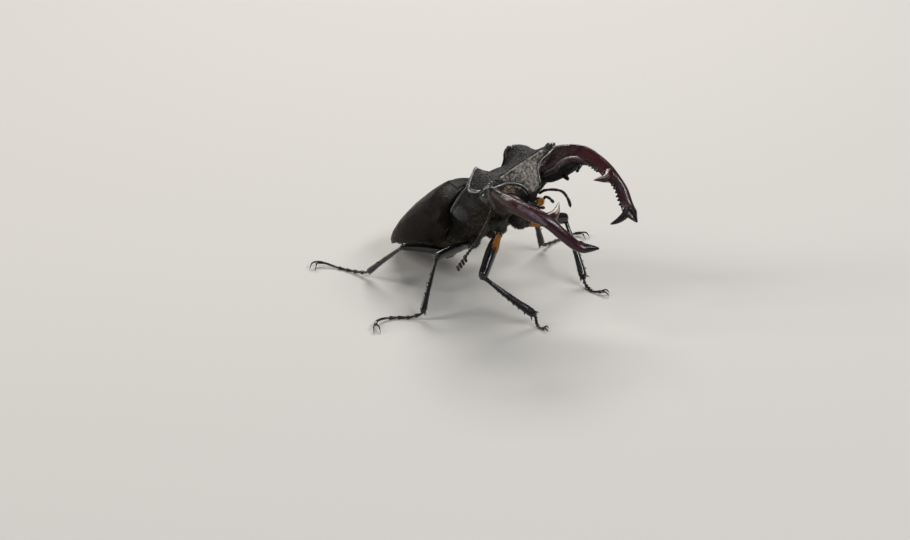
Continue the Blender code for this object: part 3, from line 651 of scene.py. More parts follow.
def hairFinish(name, root, tip, rough=0.55):
    # a soft hair that varies a little from tuft to tuft
    material, shader = newMaterial(name)
    tree = Wiring(material.node_tree)
    share = tree.band(tree.noise(1400.0, 3.0, 0.6, tree.place()), 0.35, 0.65)
    tree.join(tree.mix(root, tip, share), shader.inputs["Base Color"])
    shader.inputs["Roughness"].default_value = rough
    shader.inputs["Specular IOR Level"].default_value = 0.3
    return material


hairFinishes = {
    "orange": hairFinish("orange hair", (0.36, 0.135, 0.014), (0.62, 0.28, 0.045)),
    "pale": hairFinish("pale down", (0.10, 0.09, 0.08), (0.62, 0.57, 0.51)),
    "golden": hairFinish("golden down", (0.035, 0.027, 0.017), (0.19, 0.155, 0.10)),
    "dark": hairFinish("dark bristles", (0.02, 0.013, 0.008), (0.06, 0.04, 0.022), 0.4),
}


def gridNormals(grid):
    return unit(np.cross(np.gradient(grid, axis=1), np.gradient(grid, axis=0)))


def plate(name, outer, thickness, outwards=None):
    # a shell plate under a grid of points, thinning to a round lip at its borders
    rows, columns = outer.shape[:2]
    normals = gridNormals(outer)
    if outwards is not None and (normals * outwards).sum() < 0:
        normals = -normals
    fromRow = np.minimum(np.arange(rows), np.arange(rows)[::-1])[:, None]
    fromColumn = np.minimum(np.arange(columns), np.arange(columns)[::-1])[None, :]
    columnGap = np.linalg.norm(outer[:, 1:] - outer[:, :-1], axis=2).mean()
    rowGap = np.linalg.norm(outer[1:] - outer[:-1], axis=2).mean()
    inside = np.clip(np.minimum(fromColumn * columnGap, fromRow * rowGap) / thickness * 1.6, 0, 1)
    depth = thickness * np.sqrt(np.clip(1 - (1 - inside) ** 2, 0, 1))
    drop = thickness * 0.28 * (1 - inside) ** 2
    top = outer - normals * drop[..., None]
    under = top - normals * depth[..., None]
    bm = bmesh.new()
    sheets = []
    for grid in (top, under):
        verts = [bm.verts.new(point) for point in grid.reshape(-1, 3)]
        sheets.append(np.array(verts, dtype=object).reshape(rows, columns))
    for sheet, way in zip(sheets, (1, -1)):
        for r in range(rows - 1):
            for c in range(columns - 1):
                corners = (sheet[r, c], sheet[r, c + 1], sheet[r + 1, c + 1], sheet[r + 1, c])
                bm.faces.new(corners[::way])
    bmesh.ops.remove_doubles(bm, verts=bm.verts, dist=0.004)
    bmesh.ops.recalc_face_normals(bm, faces=bm.faces)
    mesh = bpy.data.meshes.new(name)
    bm.to_mesh(mesh)
    bm.free()
    return mesh


# Wing cases

wingCases = {
    "front": -1.8, "length": 26.7, "halfWidth": 9.7, "height": 7.7, "side": -1.1, "flap": 2.6,
    "frontDrop": 3.0, "wall": 0.6, "seamGap": 0.05, "rows": 210, "overTop": 110, "downSide": 24,
    "callus": {"x": -4.0, "turn": 74, "height": 0.26, "reach": 1.8},
    "ribs": (18, 37, 55), "ribHeight": 0.035,  # how far round from the seam, in degrees
    "look": {
        "colour": (0.0042, 0.0033, 0.0025), "second": (0.011, 0.0082, 0.0056), "rough": (0.3, 0.46),
        "granules": 2700.0, "waves": 500.0, "grainDepth": 0.42,
        "pits": 2600.0, "pitWidth": 0.3, "pitDepth": 0.8, "shine": 0.22, "ior": 1.22,
        "dust": 0.02, "dustColour": (0.13, 0.115, 0.10),
        "tints": {"rearward": {"colour": (0.012, 0.0058, 0.0042), "rougher": 0.0}},
    },
}


def caseSize(share):
    # half width, height of the top, height of the widest line, and how far the side hangs below it
    spec = wingCases
    shoulder = 1 - 0.16 * np.clip(1 - share / 0.07, 0, 1) ** 2
    width = spec["halfWidth"] * (1 - share ** 3.6) ** 0.6 * shoulder
    side = spec["side"] * (1 - step(0.3, 0.75, share))
    front = spec["frontDrop"] * np.clip(1 - share / 0.2, 0, 1) ** 2
    height = spec["height"] * (1 - share ** 1.9) ** 0.7 - 1.2 * share ** 4 - front
    flap = 0.3 + (spec["flap"] - 0.3) * step(0.0, 0.16, share) * (1 - step(0.16, 0.5, share))
    return width, np.maximum(height, side + 0.3), side, flap


def wingCase():
    spec = wingCases
    share = 1 - (1 - np.linspace(0, 1, spec["rows"]) ** 1.15) ** 1.5
    share = np.clip(share, 0, 0.9995)[:, None]
    width, height, side, flap = caseSize(share)
    top, hanging = spec["overTop"], spec["downSide"]
    turn = np.concatenate([np.linspace(0, pi / 2, top), np.full(hanging, pi / 2)])[None, :]
    down = np.concatenate([np.zeros(top), np.linspace(0, 1, hanging + 1)[1:]])[None, :]
    x = spec["front"] - spec["length"] * share + 0 * turn
    y = np.maximum(spec["seamGap"], width * np.sin(turn) - 0.14 * flap * down ** 1.6)
    z = side + (height - side) * np.abs(np.cos(turn)) ** 0.8 - flap * down
    grid = np.stack([x, y, z], -1)
    normals = gridNormals(grid)
    normals *= np.where(normals[..., 2:].mean() < 0, -1, 1)
    aboveHem = z - side + flap
    rise = 0.1 * bump(y - 0.55, 0.5)  # the ridge beside the seam
    low = step(0.4, 0.8, turn)
    rise += (0.08 * bump(aboveHem - 0.15, 0.22) - 0.06 * bump(aboveHem - 0.55, 0.35)) * low
    callus = spec["callus"]
    far = np.hypot(x - callus["x"], (turn - radians(callus["turn"])) * width)
    rise += callus["height"] * bump(far, callus["reach"])
    ribbed = spec["ribHeight"] * step(0.05, 0.2, share) * step(0.95, 0.7, share)
    for rib in spec["ribs"]:
        rise += bump((turn - radians(rib)) * width, 0.8) * ribbed
    grid = grid + normals * rise[..., None]
    mesh = plate("wingCase", grid, spec["wall"], np.array((0, 0.3, 1.0)))
    mask(mesh, "rearward", step(-9, -24, pointsOf(mesh)[:, 0]) * 0.9 + 0.12)
    return mesh


def addWingCases():
    finish = chitin("wing case chitin", wingCases["look"])
    left = wingCase()
    right = mirrored(left)
    place("wing_case_left", left, "hind", finish, ["elytron_left"])
    place("wing_case_right", right, "hind", finish, ["elytron_right"])
    print("wing cases:", len(left.vertices), "points each")


addWingCases()


# Small shield between the wing cases

smallShield = {
    "front": -2.3, "tip": -5.7, "halfWidth": 1.9, "wall": 0.45, "proud": 0.14,
    "look": {
        "colour": (0.0045, 0.0038, 0.0034), "second": (0.01, 0.008, 0.007), "rough": (0.4, 0.55), "ior": 1.3,
        "granules": 9000.0, "grainDepth": 0.3, "pits": 5000.0, "pitDepth": 0.9, "shine": 0.3,
        "dust": 0.16, "dustColour": (0.18, 0.16, 0.13),
    },
}


def addSmallShield():
    spec = smallShield
    share = np.linspace(0, 0.995, 60)[:, None]
    across = np.linspace(-1, 1, 50)[None, :]
    x = spec["front"] + (spec["tip"] - spec["front"]) * share + 0 * across
    y = spec["halfWidth"] * (1 - share ** 1.7) ** 0.75 * across
    z = caseSize((wingCases["front"] - x) / wingCases["length"])[1] + spec["proud"] + 0.12 * (1 - across ** 2)
    mesh = plate("smallShield", np.stack([x, y, z], -1), spec["wall"], np.array((0, 0, 1.0)))
    finish = chitin("small shield chitin", spec["look"])
    place("small_shield", mesh, "hind", finish, ["scutellum"])
    print("small shield done")


addSmallShield()


# Belly and hind thorax

belly = {
    "sides": 120, "clearance": 1.1,
    # x, half width and bottom; the neck's rows have their top before the bottom
    "abdomen": ((-27.6, 2.6, -0.6), (-25.0, 4.8, -1.2), (-21.0, 6.9, -2.3), (-17.0, 8.2, -3.8),
                (-12.9, 8.6, -5.5)),
    "thorax": ((-12.6, 8.6, -5.7), (-8.0, 8.8, -6.3), (-4.0, 8.4, -6.3), (-3.2, 8.0, -6.2)),
    "neck": ((-3.1, 8.0, 5.2, -6.1), (-2.4, 7.4, 2.8, -5.9), (-1.2, 6.4, 1.8, -5.5), (1.4, 5.2, 0.8, -4.7)),
    "rings": (-13.6, -16.4, -19.0, -21.5, -23.9, -25.9), "ringRise": 0.24,  # where each belly plate begins
    "seam": ((-13, 7.2), (-8, 6.2), (-3.8, 4.6), (0, 3.6)),  # x, and how far out the breast's side seams run
    "bellyDown": {"count": 2600, "lie": (-1.0, 0, -0.1), "length": 0.45, "thick": 0.024, "stand": 0.25,
                  "hair": "golden"},
    "breastDown": {"count": 5500, "lie": (-0.9, 0, -0.3), "length": 0.75, "thick": 0.028, "stand": 0.4,
                   "hair": "golden"},
    "look": {
        "colour": (0.0048, 0.004, 0.0036), "second": (0.011, 0.008, 0.0062), "rough": (0.34, 0.5),
        "granules": 7000.0, "grainDepth": 0.3, "pits": 3800.0, "pitWidth": 0.3, "pitDepth": 0.8,
        "shine": 0.35, "ior": 1.36,
        "dust": 0.2, "dustColour": (0.16, 0.14, 0.11),
    },
}


def roundTheBody():
    # how far up and out each of a ring's points lies, from -1 to 1
    angle = np.linspace(0, 2 * pi, belly["sides"], endpoint=False)[None, :]
    return np.sign(np.sin(angle)) * np.abs(np.sin(angle)) ** 0.8, np.cos(angle)


def bellyRings(xs, stations):
    # rings that fill the wing cases from below
    share = np.clip((wingCases["front"] - xs) / wingCases["length"], 0, 0.97)
    caseWidth, caseHeight, edge = caseSize(share)[:3]
    inside, top = caseWidth - belly["clearance"], np.maximum(caseHeight - belly["clearance"], edge + 0.05)
    width, bottom = through(stations, xs).T
    up, out = roundTheBody()
    inside, top, edge, width, bottom = (v[:, None] for v in (inside, top, edge, width, bottom))
    y = np.where(up >= 0, out * inside, out * np.minimum(width, inside))
    z = np.where(up >= 0, edge + up * (top - edge), edge - up * (bottom - edge))
    return np.stack([xs[:, None] + 0 * y, y, z], -1)


def neckRings():
    # rings from the wing cases' front down to the neck
    x, width, top, bottom = (v[:, None] for v in alongStations(belly["neck"], 60, 4).T)
    up, out = roundTheBody()
    edge = wingCases["side"]
    z = np.where(up >= 0, edge + up * (top - edge), edge - up * (bottom - edge))
    return np.stack([x + 0 * out, width * out, z], -1)


def addBellyPlates(finish):
    mesh = skinOver("abdomen", bellyRings(np.linspace(-27.35, -12.95, 150), belly["abdomen"]))
    points = pointsOf(mesh)
    under = step(0.3, -1.2, points[:, 2])
    lift = np.zeros(len(points))
    starts = np.array(belly["rings"])
    for start, end in zip(starts, np.append(starts[1:], -28.0)):
        bow = 0.9 * (points[:, 1] / 8.6) ** 2  # the plates' edges bow forwards to the sides
        share = np.clip((start + bow - points[:, 0]) / (start - end), 0, 1)
        inPlate = (points[:, 0] < start + bow) & (points[:, 0] >= end + bow)
        lift += np.where(inPlate, belly["ringRise"] * share ** 2, 0)
    push(mesh, lift * under)
    downy = step(-1.5, -2.6, points[:, 2])
    bristles("belly_down", mesh, downy, belly["bellyDown"], "hind")
    place("belly_plates", mesh, "hind", finish, ["abdomen"])


def addHindBreast(finish):
    rings = bellyRings(np.linspace(-12.55, -3.2, 110), belly["thorax"])
    mesh = skinOver("hindThorax", np.concatenate([rings, neckRings()]))
    x, y, z = pointsOf(mesh).T
    under, flank = step(-1.0, -2.5, z), step(-0.6, -1.6, z)
    rise = -0.3 * bump(y, 0.35) * under  # the furrow down the breast's middle
    rise -= 0.3 * bump(np.abs(y) - through(belly["seam"], x)[:, 0], 0.3) * flank
    rise -= 0.35 * bump(x + 4.9 + 0.12 * np.abs(y), 0.4) * flank  # between the two breast rings
    rise += 0.5 * bump(np.hypot(y, x + 4.0), 1.6) * under
    push(mesh, rise)
    downy = step(-2.2, -3.6, z) * step(1.4, 0.4, x)
    bristles("hind_breast_down", mesh, downy, belly["breastDown"], "hind")
    place("hind_breast", mesh, "hind", finish, ["hind_thorax"])


def addBelly():
    finish = chitin("belly chitin", belly["look"])
    addBellyPlates(finish)
    addHindBreast(finish)
    print("belly and hind thorax done")


addBelly()


# Prothorax: the neck shield with its rimmed sides, and the breast under it

neckShield = {
    "sides": 300, "rows": 190, "edge": 1.4,
    # x, half width, top, bottom
    "stations": ((0.2, 8.3, 3.5, -4.6), (0.7, 8.9, 3.8, -5.2), (2.4, 9.5, 3.9, -6.0), (4.8, 9.6, 3.6, -6.1),
                 (7.0, 9.3, 3.0, -5.3), (8.6, 8.6, 2.4, -4.2), (9.3, 7.6, 2.1, -3.4)),
    "down": {"count": 4200, "lie": (-0.7, 0, -0.45), "length": 0.8, "thick": 0.03, "stand": 0.45,
             "hair": "golden"},
    "fringe": {"count": 1500, "length": 0.5, "thick": 0.026, "stand": 0.3, "hair": "golden"},
    "look": {
        "colour": (0.0055, 0.0049, 0.0047), "second": (0.013, 0.0118, 0.011), "rough": (0.42, 0.6),
        "granules": 2900.0, "grainDepth": 1.3, "pits": 2100.0, "pitWidth": 0.33, "pitDepth": 1.2,
        "shine": 0.2, "dust": 0.2, "dustColour": (0.13, 0.12, 0.11),
        "coat": 1.0, "coatRough": 0.1, "coatMask": "rim",
        "tints": {
            "rim": {"colour": (0.015, 0.014, 0.0132), "rougher": -0.28, "calm": 0.9},
            "silver": {"colour": (0.05, 0.052, 0.054), "rougher": 0.0},
        },
    },
}


def neckShieldSkin():
    spec = neckShield
    edge = spec["edge"]
    x, width, top, bottom = (v[:, None] for v in alongStations(spec["stations"], spec["rows"], 4).T)
    angle = np.linspace(0, 2 * pi, spec["sides"], endpoint=False)
    angle = (angle - 0.25 * np.sin(2 * angle))[None, :]  # closer together at the sharp edges
    y, up = width * np.cos(angle), np.sin(angle)
    disc = edge + 0.15 * step(0, 0.03, up) + (top - edge - 0.15) * step(0, 1, 1 - np.abs(np.cos(angle)))
    z = np.where(up >= 0, disc, edge + np.abs(up) ** 0.9 * (bottom - edge))
    return skinOver("neckShield", relaxed(np.stack([x + 0 * y, y, z], -1), 1))


def neckShieldRelief(x, y, z, half, fromEdge, above):
    edge, off = neckShield["edge"], np.abs(y)
    rise = 0.16 * bump(fromEdge, 0.32) * step(0.2, 0.6, x)
    rise -= 0.16 * bump(fromEdge - 0.6, 0.4) * step(0.5, 1.2, x)
    rise -= 0.16 * bump(y, 1.1) * above * step(0.8, 2.4, x) * step(8.6, 7.0, x)  # the middle furrow
    rise -= 0.3 * bump(np.hypot(x - 4.6, off - 6.0), 1.5) * above
    rise -= 0.2 * bump(np.hypot(x - 2.2, off - 3.2), 1.3) * above
    rise += 0.16 * bump(x - 0.75, 0.35) * (half - off > 0.3) + 0.1 * bump(x - 8.8, 0.3) * above
    flank = step(5.5, 7.5, off) * (z < edge - 0.3)
    rise -= 0.3 * bump(np.hypot(x - 4.6, (z + 0.6) * 0.8), 2.2) * flank
    rise += 0.3 * bump(np.hypot(x - 2.2, (z + 0.2) * 0.7), 1.6) * flank
    seam = z - edge + 4.3 + 0.25 * (x - 4)  # between the flank and the breast
    rise -= 0.16 * bump(seam, 0.3) * step(3.5, 4.5, off)
    rise += 0.7 * bump(y, 1.1) * (z < -3) * step(7.5, 5.0, x)  # keel between the front hips
    return rise


def forwardsOrBack(roots):
    # the fringe points forwards at the shield's front and backwards at its back
    return np.where(roots[:, :1] > 5, 1.0, -1.0) * (1.0, 0, 0)


def addNeckShield():
    spec = neckShield
    edge = spec["edge"]
    mesh = neckShieldSkin()
    x, y, z = pointsOf(mesh).T
    off = np.abs(y)
    half = through([row[:2] for row in spec["stations"]], x)[:, 0]
    fromEdge = np.hypot(half - off, z - edge - 0.05)
    push(mesh, neckShieldRelief(x, y, z, half, fromEdge, normalsOf(mesh)[:, 2] > 0.25))
    ends = np.maximum(bump(x - 0.6, 0.4), bump(x - 9.0, 0.4))
    mask(mesh, "rim", np.maximum(bump(fromEdge, 0.55), ends * 0.8))
    silver = bump(np.hypot((x - 2.6) * 0.75, (z + 0.3) * 0.8), 1.9) ** 0.5
    silver += 0.7 * bump(np.hypot((x - 7.0) * 0.8, (z + 1.7) * 0.7), 1.7) ** 0.6
    mask(mesh, "silver", silver * step(edge - 0.1, edge - 0.5, z) * step(6.0, 7.5, off))
    breast = step(-1.4, -2.6, z) * step(-0.2, 0.8, x) * (0.35 + 0.65 * step(3.0, 7.0, x))
    bristles("breast_down", mesh, breast, spec["down"], "prothorax")
    fringe = (bump(x - 0.35, 0.4) + bump(x - 9.2, 0.35)) * (z > edge - 1.5)
    bristles("shield_fringe", mesh, fringe, spec["fringe"], "prothorax", forwardsOrBack)
    finish = chitin("neck shield chitin", spec["look"])
    place("neck_shield", mesh, "prothorax", finish, ["prothorax"])
    print("neck shield:", len(x), "points")


addNeckShield()


# Head

headCase = {
    # x, half width, middle, crest at, crest, edge, bottom, tuck
    "stations": ((-2.6, 4.6, -0.6, 2.5, -0.7, -1.2, -2.4, 1.0), (-2.2, 5.2, 0.0, 3.6, 0.1, -0.7, -2.2, 1.0),
                 (-1.65, 6.0, 0.5, 4.9, 3.5, 2.7, -2.1, 0.75), (-0.9, 8.2, 1.25, 5.4, 4.6, 2.8, -2.1, 0.7),
                 (0.0, 9.7, 1.6, 6.0, 4.9, 2.7, -2.2, 0.7), (1.2, 10.4, 2.0, 6.4, 4.8, 2.3, -2.7, 0.7),
                 (3.4, 10.0, 3.2, 6.6, 4.5, 2.4, -3.7, 0.7), (5.0, 10.1, 4.4, 6.9, 4.8, 3.6, -4.4, 0.75),
                 (6.1, 10.8, 5.4, 7.4, 5.3, 4.8, -4.7, 0.75), (6.7, 11.0, 5.4, 7.6, 5.2, 5.0, -4.8, 0.75),
                 (7.2, 10.5, 4.8, 7.4, 5.1, 4.6, -4.7, 0.8), (7.7, 7.4, 4.2, 6.6, 4.4, 4.2, -4.5, 0.9),
                 (8.2, 5.0, 3.5, 4.2, 3.4, 3.2, -4.3, 0.9), (8.8, 3.4, 2.75, 2.8, 2.7, 2.5, -3.9, 0.95),
                 (9.4, 2.5, 1.9, 2.0, 1.85, 1.7, -2.6, 1.0), (9.9, 1.8, 0.3, 1.4, 0.2, 0.1, -1.3, 1.0)),
    "rows": 300, "over": 190, "under": 90, "socketDepth": 1.0,
    "faceDown": {"count": 5200, "lie": (0.5, 0, -0.6), "length": 0.42, "thick": 0.028, "stand": 0.35,
                 "hair": "pale"},
    "chinDown": {"count": 2200, "lie": (-0.6, 0, -0.5), "length": 0.7, "thick": 0.03, "stand": 0.5,
                 "hair": "golden"},
    "look": {
        "colour": (0.0036, 0.0033, 0.0031), "second": (0.022, 0.0205, 0.019), "rough": (0.44, 0.62),
        "granules": 2300.0, "grainDepth": 2.2, "pits": 2000.0, "pitWidth": 0.33, "pitDepth": 1.2,
        "shine": 0.2, "dust": 0.18, "dustColour": (0.15, 0.14, 0.13),
        "coat": 1.0, "coatRough": 0.08, "coatMask": "rim",
        "tints": {
            "rim": {"colour": (0.014, 0.013, 0.0125), "rougher": -0.3, "calm": 0.95},
            "downy": {"colour": (0.41, 0.366, 0.324), "fleck": (0.06, 0.054, 0.047), "rougher": 0.2},
            "hinge": {"colour": (0.055, 0.03, 0.025), "fleck": (0.014, 0.008, 0.0075), "rougher": 0.0},
            # painted shade: near black in the mouth opening under the head's front and along the crease
            # behind the brow
            "mouth": {"colour": (0.003, 0.0026, 0.0026), "rougher": 0.1, "calm": 0.2},
        },
    },
}
headBeads = {  # along the right side; the left side's are mirrored
    "earEdge": ((-0.2, -5.4, 4.75), (-0.75, -5.7, 4.7), (-0.75, -6.2, 4.5), (-0.6, -6.9, 4.2),
                (-0.4, -7.6, 3.9), (-0.15, -8.4, 3.5), (0.05, -9.1, 3.1), (0.25, -9.7, 2.75),
                (0.6, -10.1, 2.4), (1.1, -10.35, 2.15), (2.2, -10.3, 2.1), (3.3, -10.05, 2.45)),
    "canthusEdge": ((4.6, -10.0, 3.3), (5.5, -10.5, 4.1), (6.3, -10.95, 4.8), (6.8, -11.05, 4.9)),
    "fold": ((6.8, -8.6, 3.1), (7.1, -7.0, 2.9), (7.3, -5.6, 2.4), (7.8, -4.0, 1.6)),
    "foldDrops": {1: (), -1: (0.3, 0.7, 1.1)},  # the left folds are hidden in their socket
    "socketRadius": 0.15, "earRadius": 0.19, "canthusRadius": 0.16, "foldRadius": 0.12,
    # the rims' pale colour is a painted highlight on the black head's edges
    "rimHighlightLook": {
        "colour": (0.15, 0.142, 0.132), "second": (0.3, 0.285, 0.265), "rough": (0.25, 0.4),
        "granules": 6000.0, "grainDepth": 0.1, "pits": 5000.0, "pitDepth": 0.1,
        "dust": 0.1, "dustColour": (0.2, 0.19, 0.18), "coat": 0.8, "coatRough": 0.12,
    },
    "foldLook": {
        "colour": (0.12, 0.078, 0.046), "second": (0.26, 0.18, 0.11), "rough": (0.35, 0.5),
        "granules": 5000.0, "grainDepth": 0.3, "pits": 5000.0, "pitDepth": 0.2,
        "dust": 0.05, "dustColour": (0.3, 0.25, 0.2),
    },
}


def headRings():
    spec = headCase
    values = alongStations(spec["stations"], spec["rows"])
    x, half, middle, crestAt, crest, edge, bottom, tuck = (v[:, None] for v in values.T)
    y = half * np.cos(np.linspace(0, pi, spec["over"]))[None, :]
    off = np.abs(y)
    dish = 0.85 * (1 - step(-1.9, 2.4, x))  # at the back the crests rise steeply from a flat saddle
    rising = np.clip((off / crestAt - dish) / (1 - dish), 0, 1)
    falling = np.clip((off - crestAt) / (half - crestAt), 0, 1)
    z = np.where(off <= crestAt, middle + (crest - middle) * rising ** 2 * (3 - 2 * rising),
                 crest + (edge - crest) * falling ** 1.6)
    over = np.stack([x + 0 * y, y, z], -1)
    angle = np.linspace(0, pi, spec["under"] + 2)[None, 1:-1]
    cheeks = step(6.8, 8.0, x)
    tuck = tuck * (1 - 0.3 * cheeks)
    y = -half * np.cos(angle) * (tuck + (1 - tuck) * np.abs(np.cos(angle)))
    z = edge - 0.25 + (bottom - edge + 0.25) * np.sin(angle) ** (0.6 + 0.5 * cheeks)
    rings = np.concatenate([over, np.stack([x + 0 * y, y, z], -1)], 1)
    notch = spec["socketDepth"] * bump(np.abs(rings[..., 1]) - 4.6, 3.4) * step(6.7, 7.6, rings[..., 0])
    rings[..., 0] -= notch  # the jaws' sockets cut back into the front face
    x, off, z = rings[..., 0], np.abs(rings[..., 1]), rings[..., 2]
    hooked = step(-0.6, -1.5, x) * step(1.6, 2.8, z) * bump(off - 5.3, 1.6)
    rings[..., 0] -= 0.45 * hooked  # the crests lean back over the neck
    return rings


def headFields(mesh, rim):
    # the distances that the head's relief and its masks are both made from
    points = pointsOf(mesh)
    x, y, z = points.T
    off = np.abs(y)
    half, low = through([(row[0], row[1], row[5]) for row in headCase["stations"]], x).T
    toRim = np.full(len(points), 9.0)
    forward = x > 6.4
    rightward = np.stack([x, -off, z], 1)[forward]
    toRim[forward] = np.min([np.linalg.norm(rightward - spot, axis=1) for spot in rim if spot[0] > 6.2], 0)
    return SimpleNamespace(
        x=x, y=y, z=z, off=off, toRim=toRim, above=step(-1.0, 0.5, z),
        earEdge=np.abs(x + 1.35 - 0.12 * (off - 4.8) - 0.035 * (off - 4.8) ** 2),
        onEar=step(4.2, 4.9, off) * step(1.2, 2.4, z),
        cheekEdge=np.hypot(half - off, z - low), brow=step(7.6, 6.6, off) * step(3.5, 4.5, z))


def headRelief(at):
    x, y, z, off = at.x, at.y, at.z, at.off
    rise = 0.26 * bump(at.earEdge, 0.36) * at.onEar
    rise -= 0.22 * bump(at.earEdge - 0.75, 0.5) * (x > -1.2) * step(9.6, 8.6, off) * at.onEar
    rise += 0.16 * bump(at.cheekEdge, 0.35) * step(-1.5, -0.5, x) * step(6.9, 5.5, x)
    rise -= 0.22 * bump(np.hypot(x - 3.0, (off - 3.6) * 0.8), 2.2) * at.above  # dimples of the crown
    rise -= 0.16 * bump(y, 0.9) * at.above * bump(x - 3.2, 3.2)
    rise += (0.14 * bump(x - 6.7, 0.3) - 0.45 * bump(x - 6.12 + 0.02 * off, 0.42)) * at.brow
    knobbed = step(3.5, 4.4, z)
    rise += 0.5 * bump(np.hypot(x - 6.3, off - 9.8), 1.2) * knobbed  # knob over each eye
    rise -= 0.4 * bump(np.hypot(x - 6.9, off - 8.3), 0.7) * knobbed
    rise += 0.16 * bump(at.toRim, 0.28) - 0.14 * bump(at.toRim - 0.5, 0.28) * (z > -0.5)
    rise -= 0.8 * bump(np.hypot(off - 2.4, z + 1.7), 1.3) * step(7.6, 8.4, x)  # mouth corners
    return rise


def paintHead(mesh, at):
    # writes the masks of the head's finish, and gives back where the pale down grows
    x, z, off, toRim = at.x, at.z, at.off, at.toRim
    upward = normalsOf(mesh)[:, 2]
    rims = (bump(at.earEdge, 0.4) * at.onEar, bump(np.hypot(x - 6.6, off - 10.3), 1.2),
            bump(at.cheekEdge, 0.4) * step(-1.5, 0, x) * step(6.9, 5.5, x), bump(toRim, 0.3))
    mask(mesh, "rim", np.max(rims, 0))
    face = step(6.5, 6.9, x + 0.03 * off) * step(7.4, 6.4, off) * (upward > 0.1)
    face *= step(0.3, 0.6, toRim) * step(-0.4, 0.2, z)
    mask(mesh, "downy", face)
    hinge = step(0.3, 0.6, toRim) * step(3.2, 2.2, toRim) * step(2.4, 3.6, off) * (upward < 0.2)
    mask(mesh, "hinge", hinge)
    # painted shade in the crease behind the brow and in the mouth opening
    creaseShade = bump(x - 6.12 + 0.02 * off, 0.45) ** 0.7 * at.brow
    mouth = step(7.0, 8.0, x) * step(0.6, -0.4, z) * (1 - face) * (1 - hinge)
    mask(mesh, "mouth", np.maximum(mouth, creaseShade))
    return face


def headBeadsOn(mesh, rim):
    # the raised rims of the sockets, ears and canthi, coloured pale as a painted highlight, and the folds of
    # skin in the right socket
    spec = headBeads
    rims, folds = [], []
    for side in (1, -1):
        flip = np.array((1, -side, 1))
        socket = rim[(rim[:, 0] > 6.9) & (np.abs(rim[:, 1]) > 1.9)] * flip
        rims.append(bead(socket[::6] + (0.04, 0, 0.06), spec["socketRadius"]))
        rims.append(bead(laidOn(mesh, np.array(spec["earEdge"]) * flip, 0.08), spec["earRadius"]))
        canthus = laidOn(mesh, np.array(spec["canthusEdge"]) * flip, 0.05)
        rims.append(bead(canthus, spec["canthusRadius"], 60))
        for drop in spec["foldDrops"][side]:
            fold = np.array(spec["fold"]) * flip - (0, 0, drop)
            folds.append(bead(laidOn(mesh, fold, 0.05), spec["foldRadius"], 80))
    return together("rims", rims), together("folds", folds)


def addHead():
    spec = headCase
    rings = headRings()
    rim = rings[:, spec["over"] - 1]  # the right border of the upper side
    mesh = skinOver("head", relaxed(rings, 2))
    at = headFields(mesh, rim)
    push(mesh, headRelief(at))
    face = paintHead(mesh, at)
    bristles("face_down", mesh, face, spec["faceDown"], "head")
    chin = step(-1.2, -2.4, at.z) * step(-1.0, 0.6, at.x) * step(8.6, 7.6, at.x)
    bristles("chin_down", mesh, chin, spec["chinDown"], "head")
    rims, folds = headBeadsOn(mesh, rim)
    place("head_case", mesh, "head", chitin("head chitin", spec["look"]), ["head"])
    place("head_rims", rims, "head", chitin("rim painted highlight", headBeads["rimHighlightLook"]))
    place("jaw_membranes", folds, "head", chitin("membrane", headBeads["foldLook"]))
    print("head:", len(at.x), "points")


addHead()


# Jaws: one fused antler each, with its big tooth, forked tip, small teeth and the black blade at the base

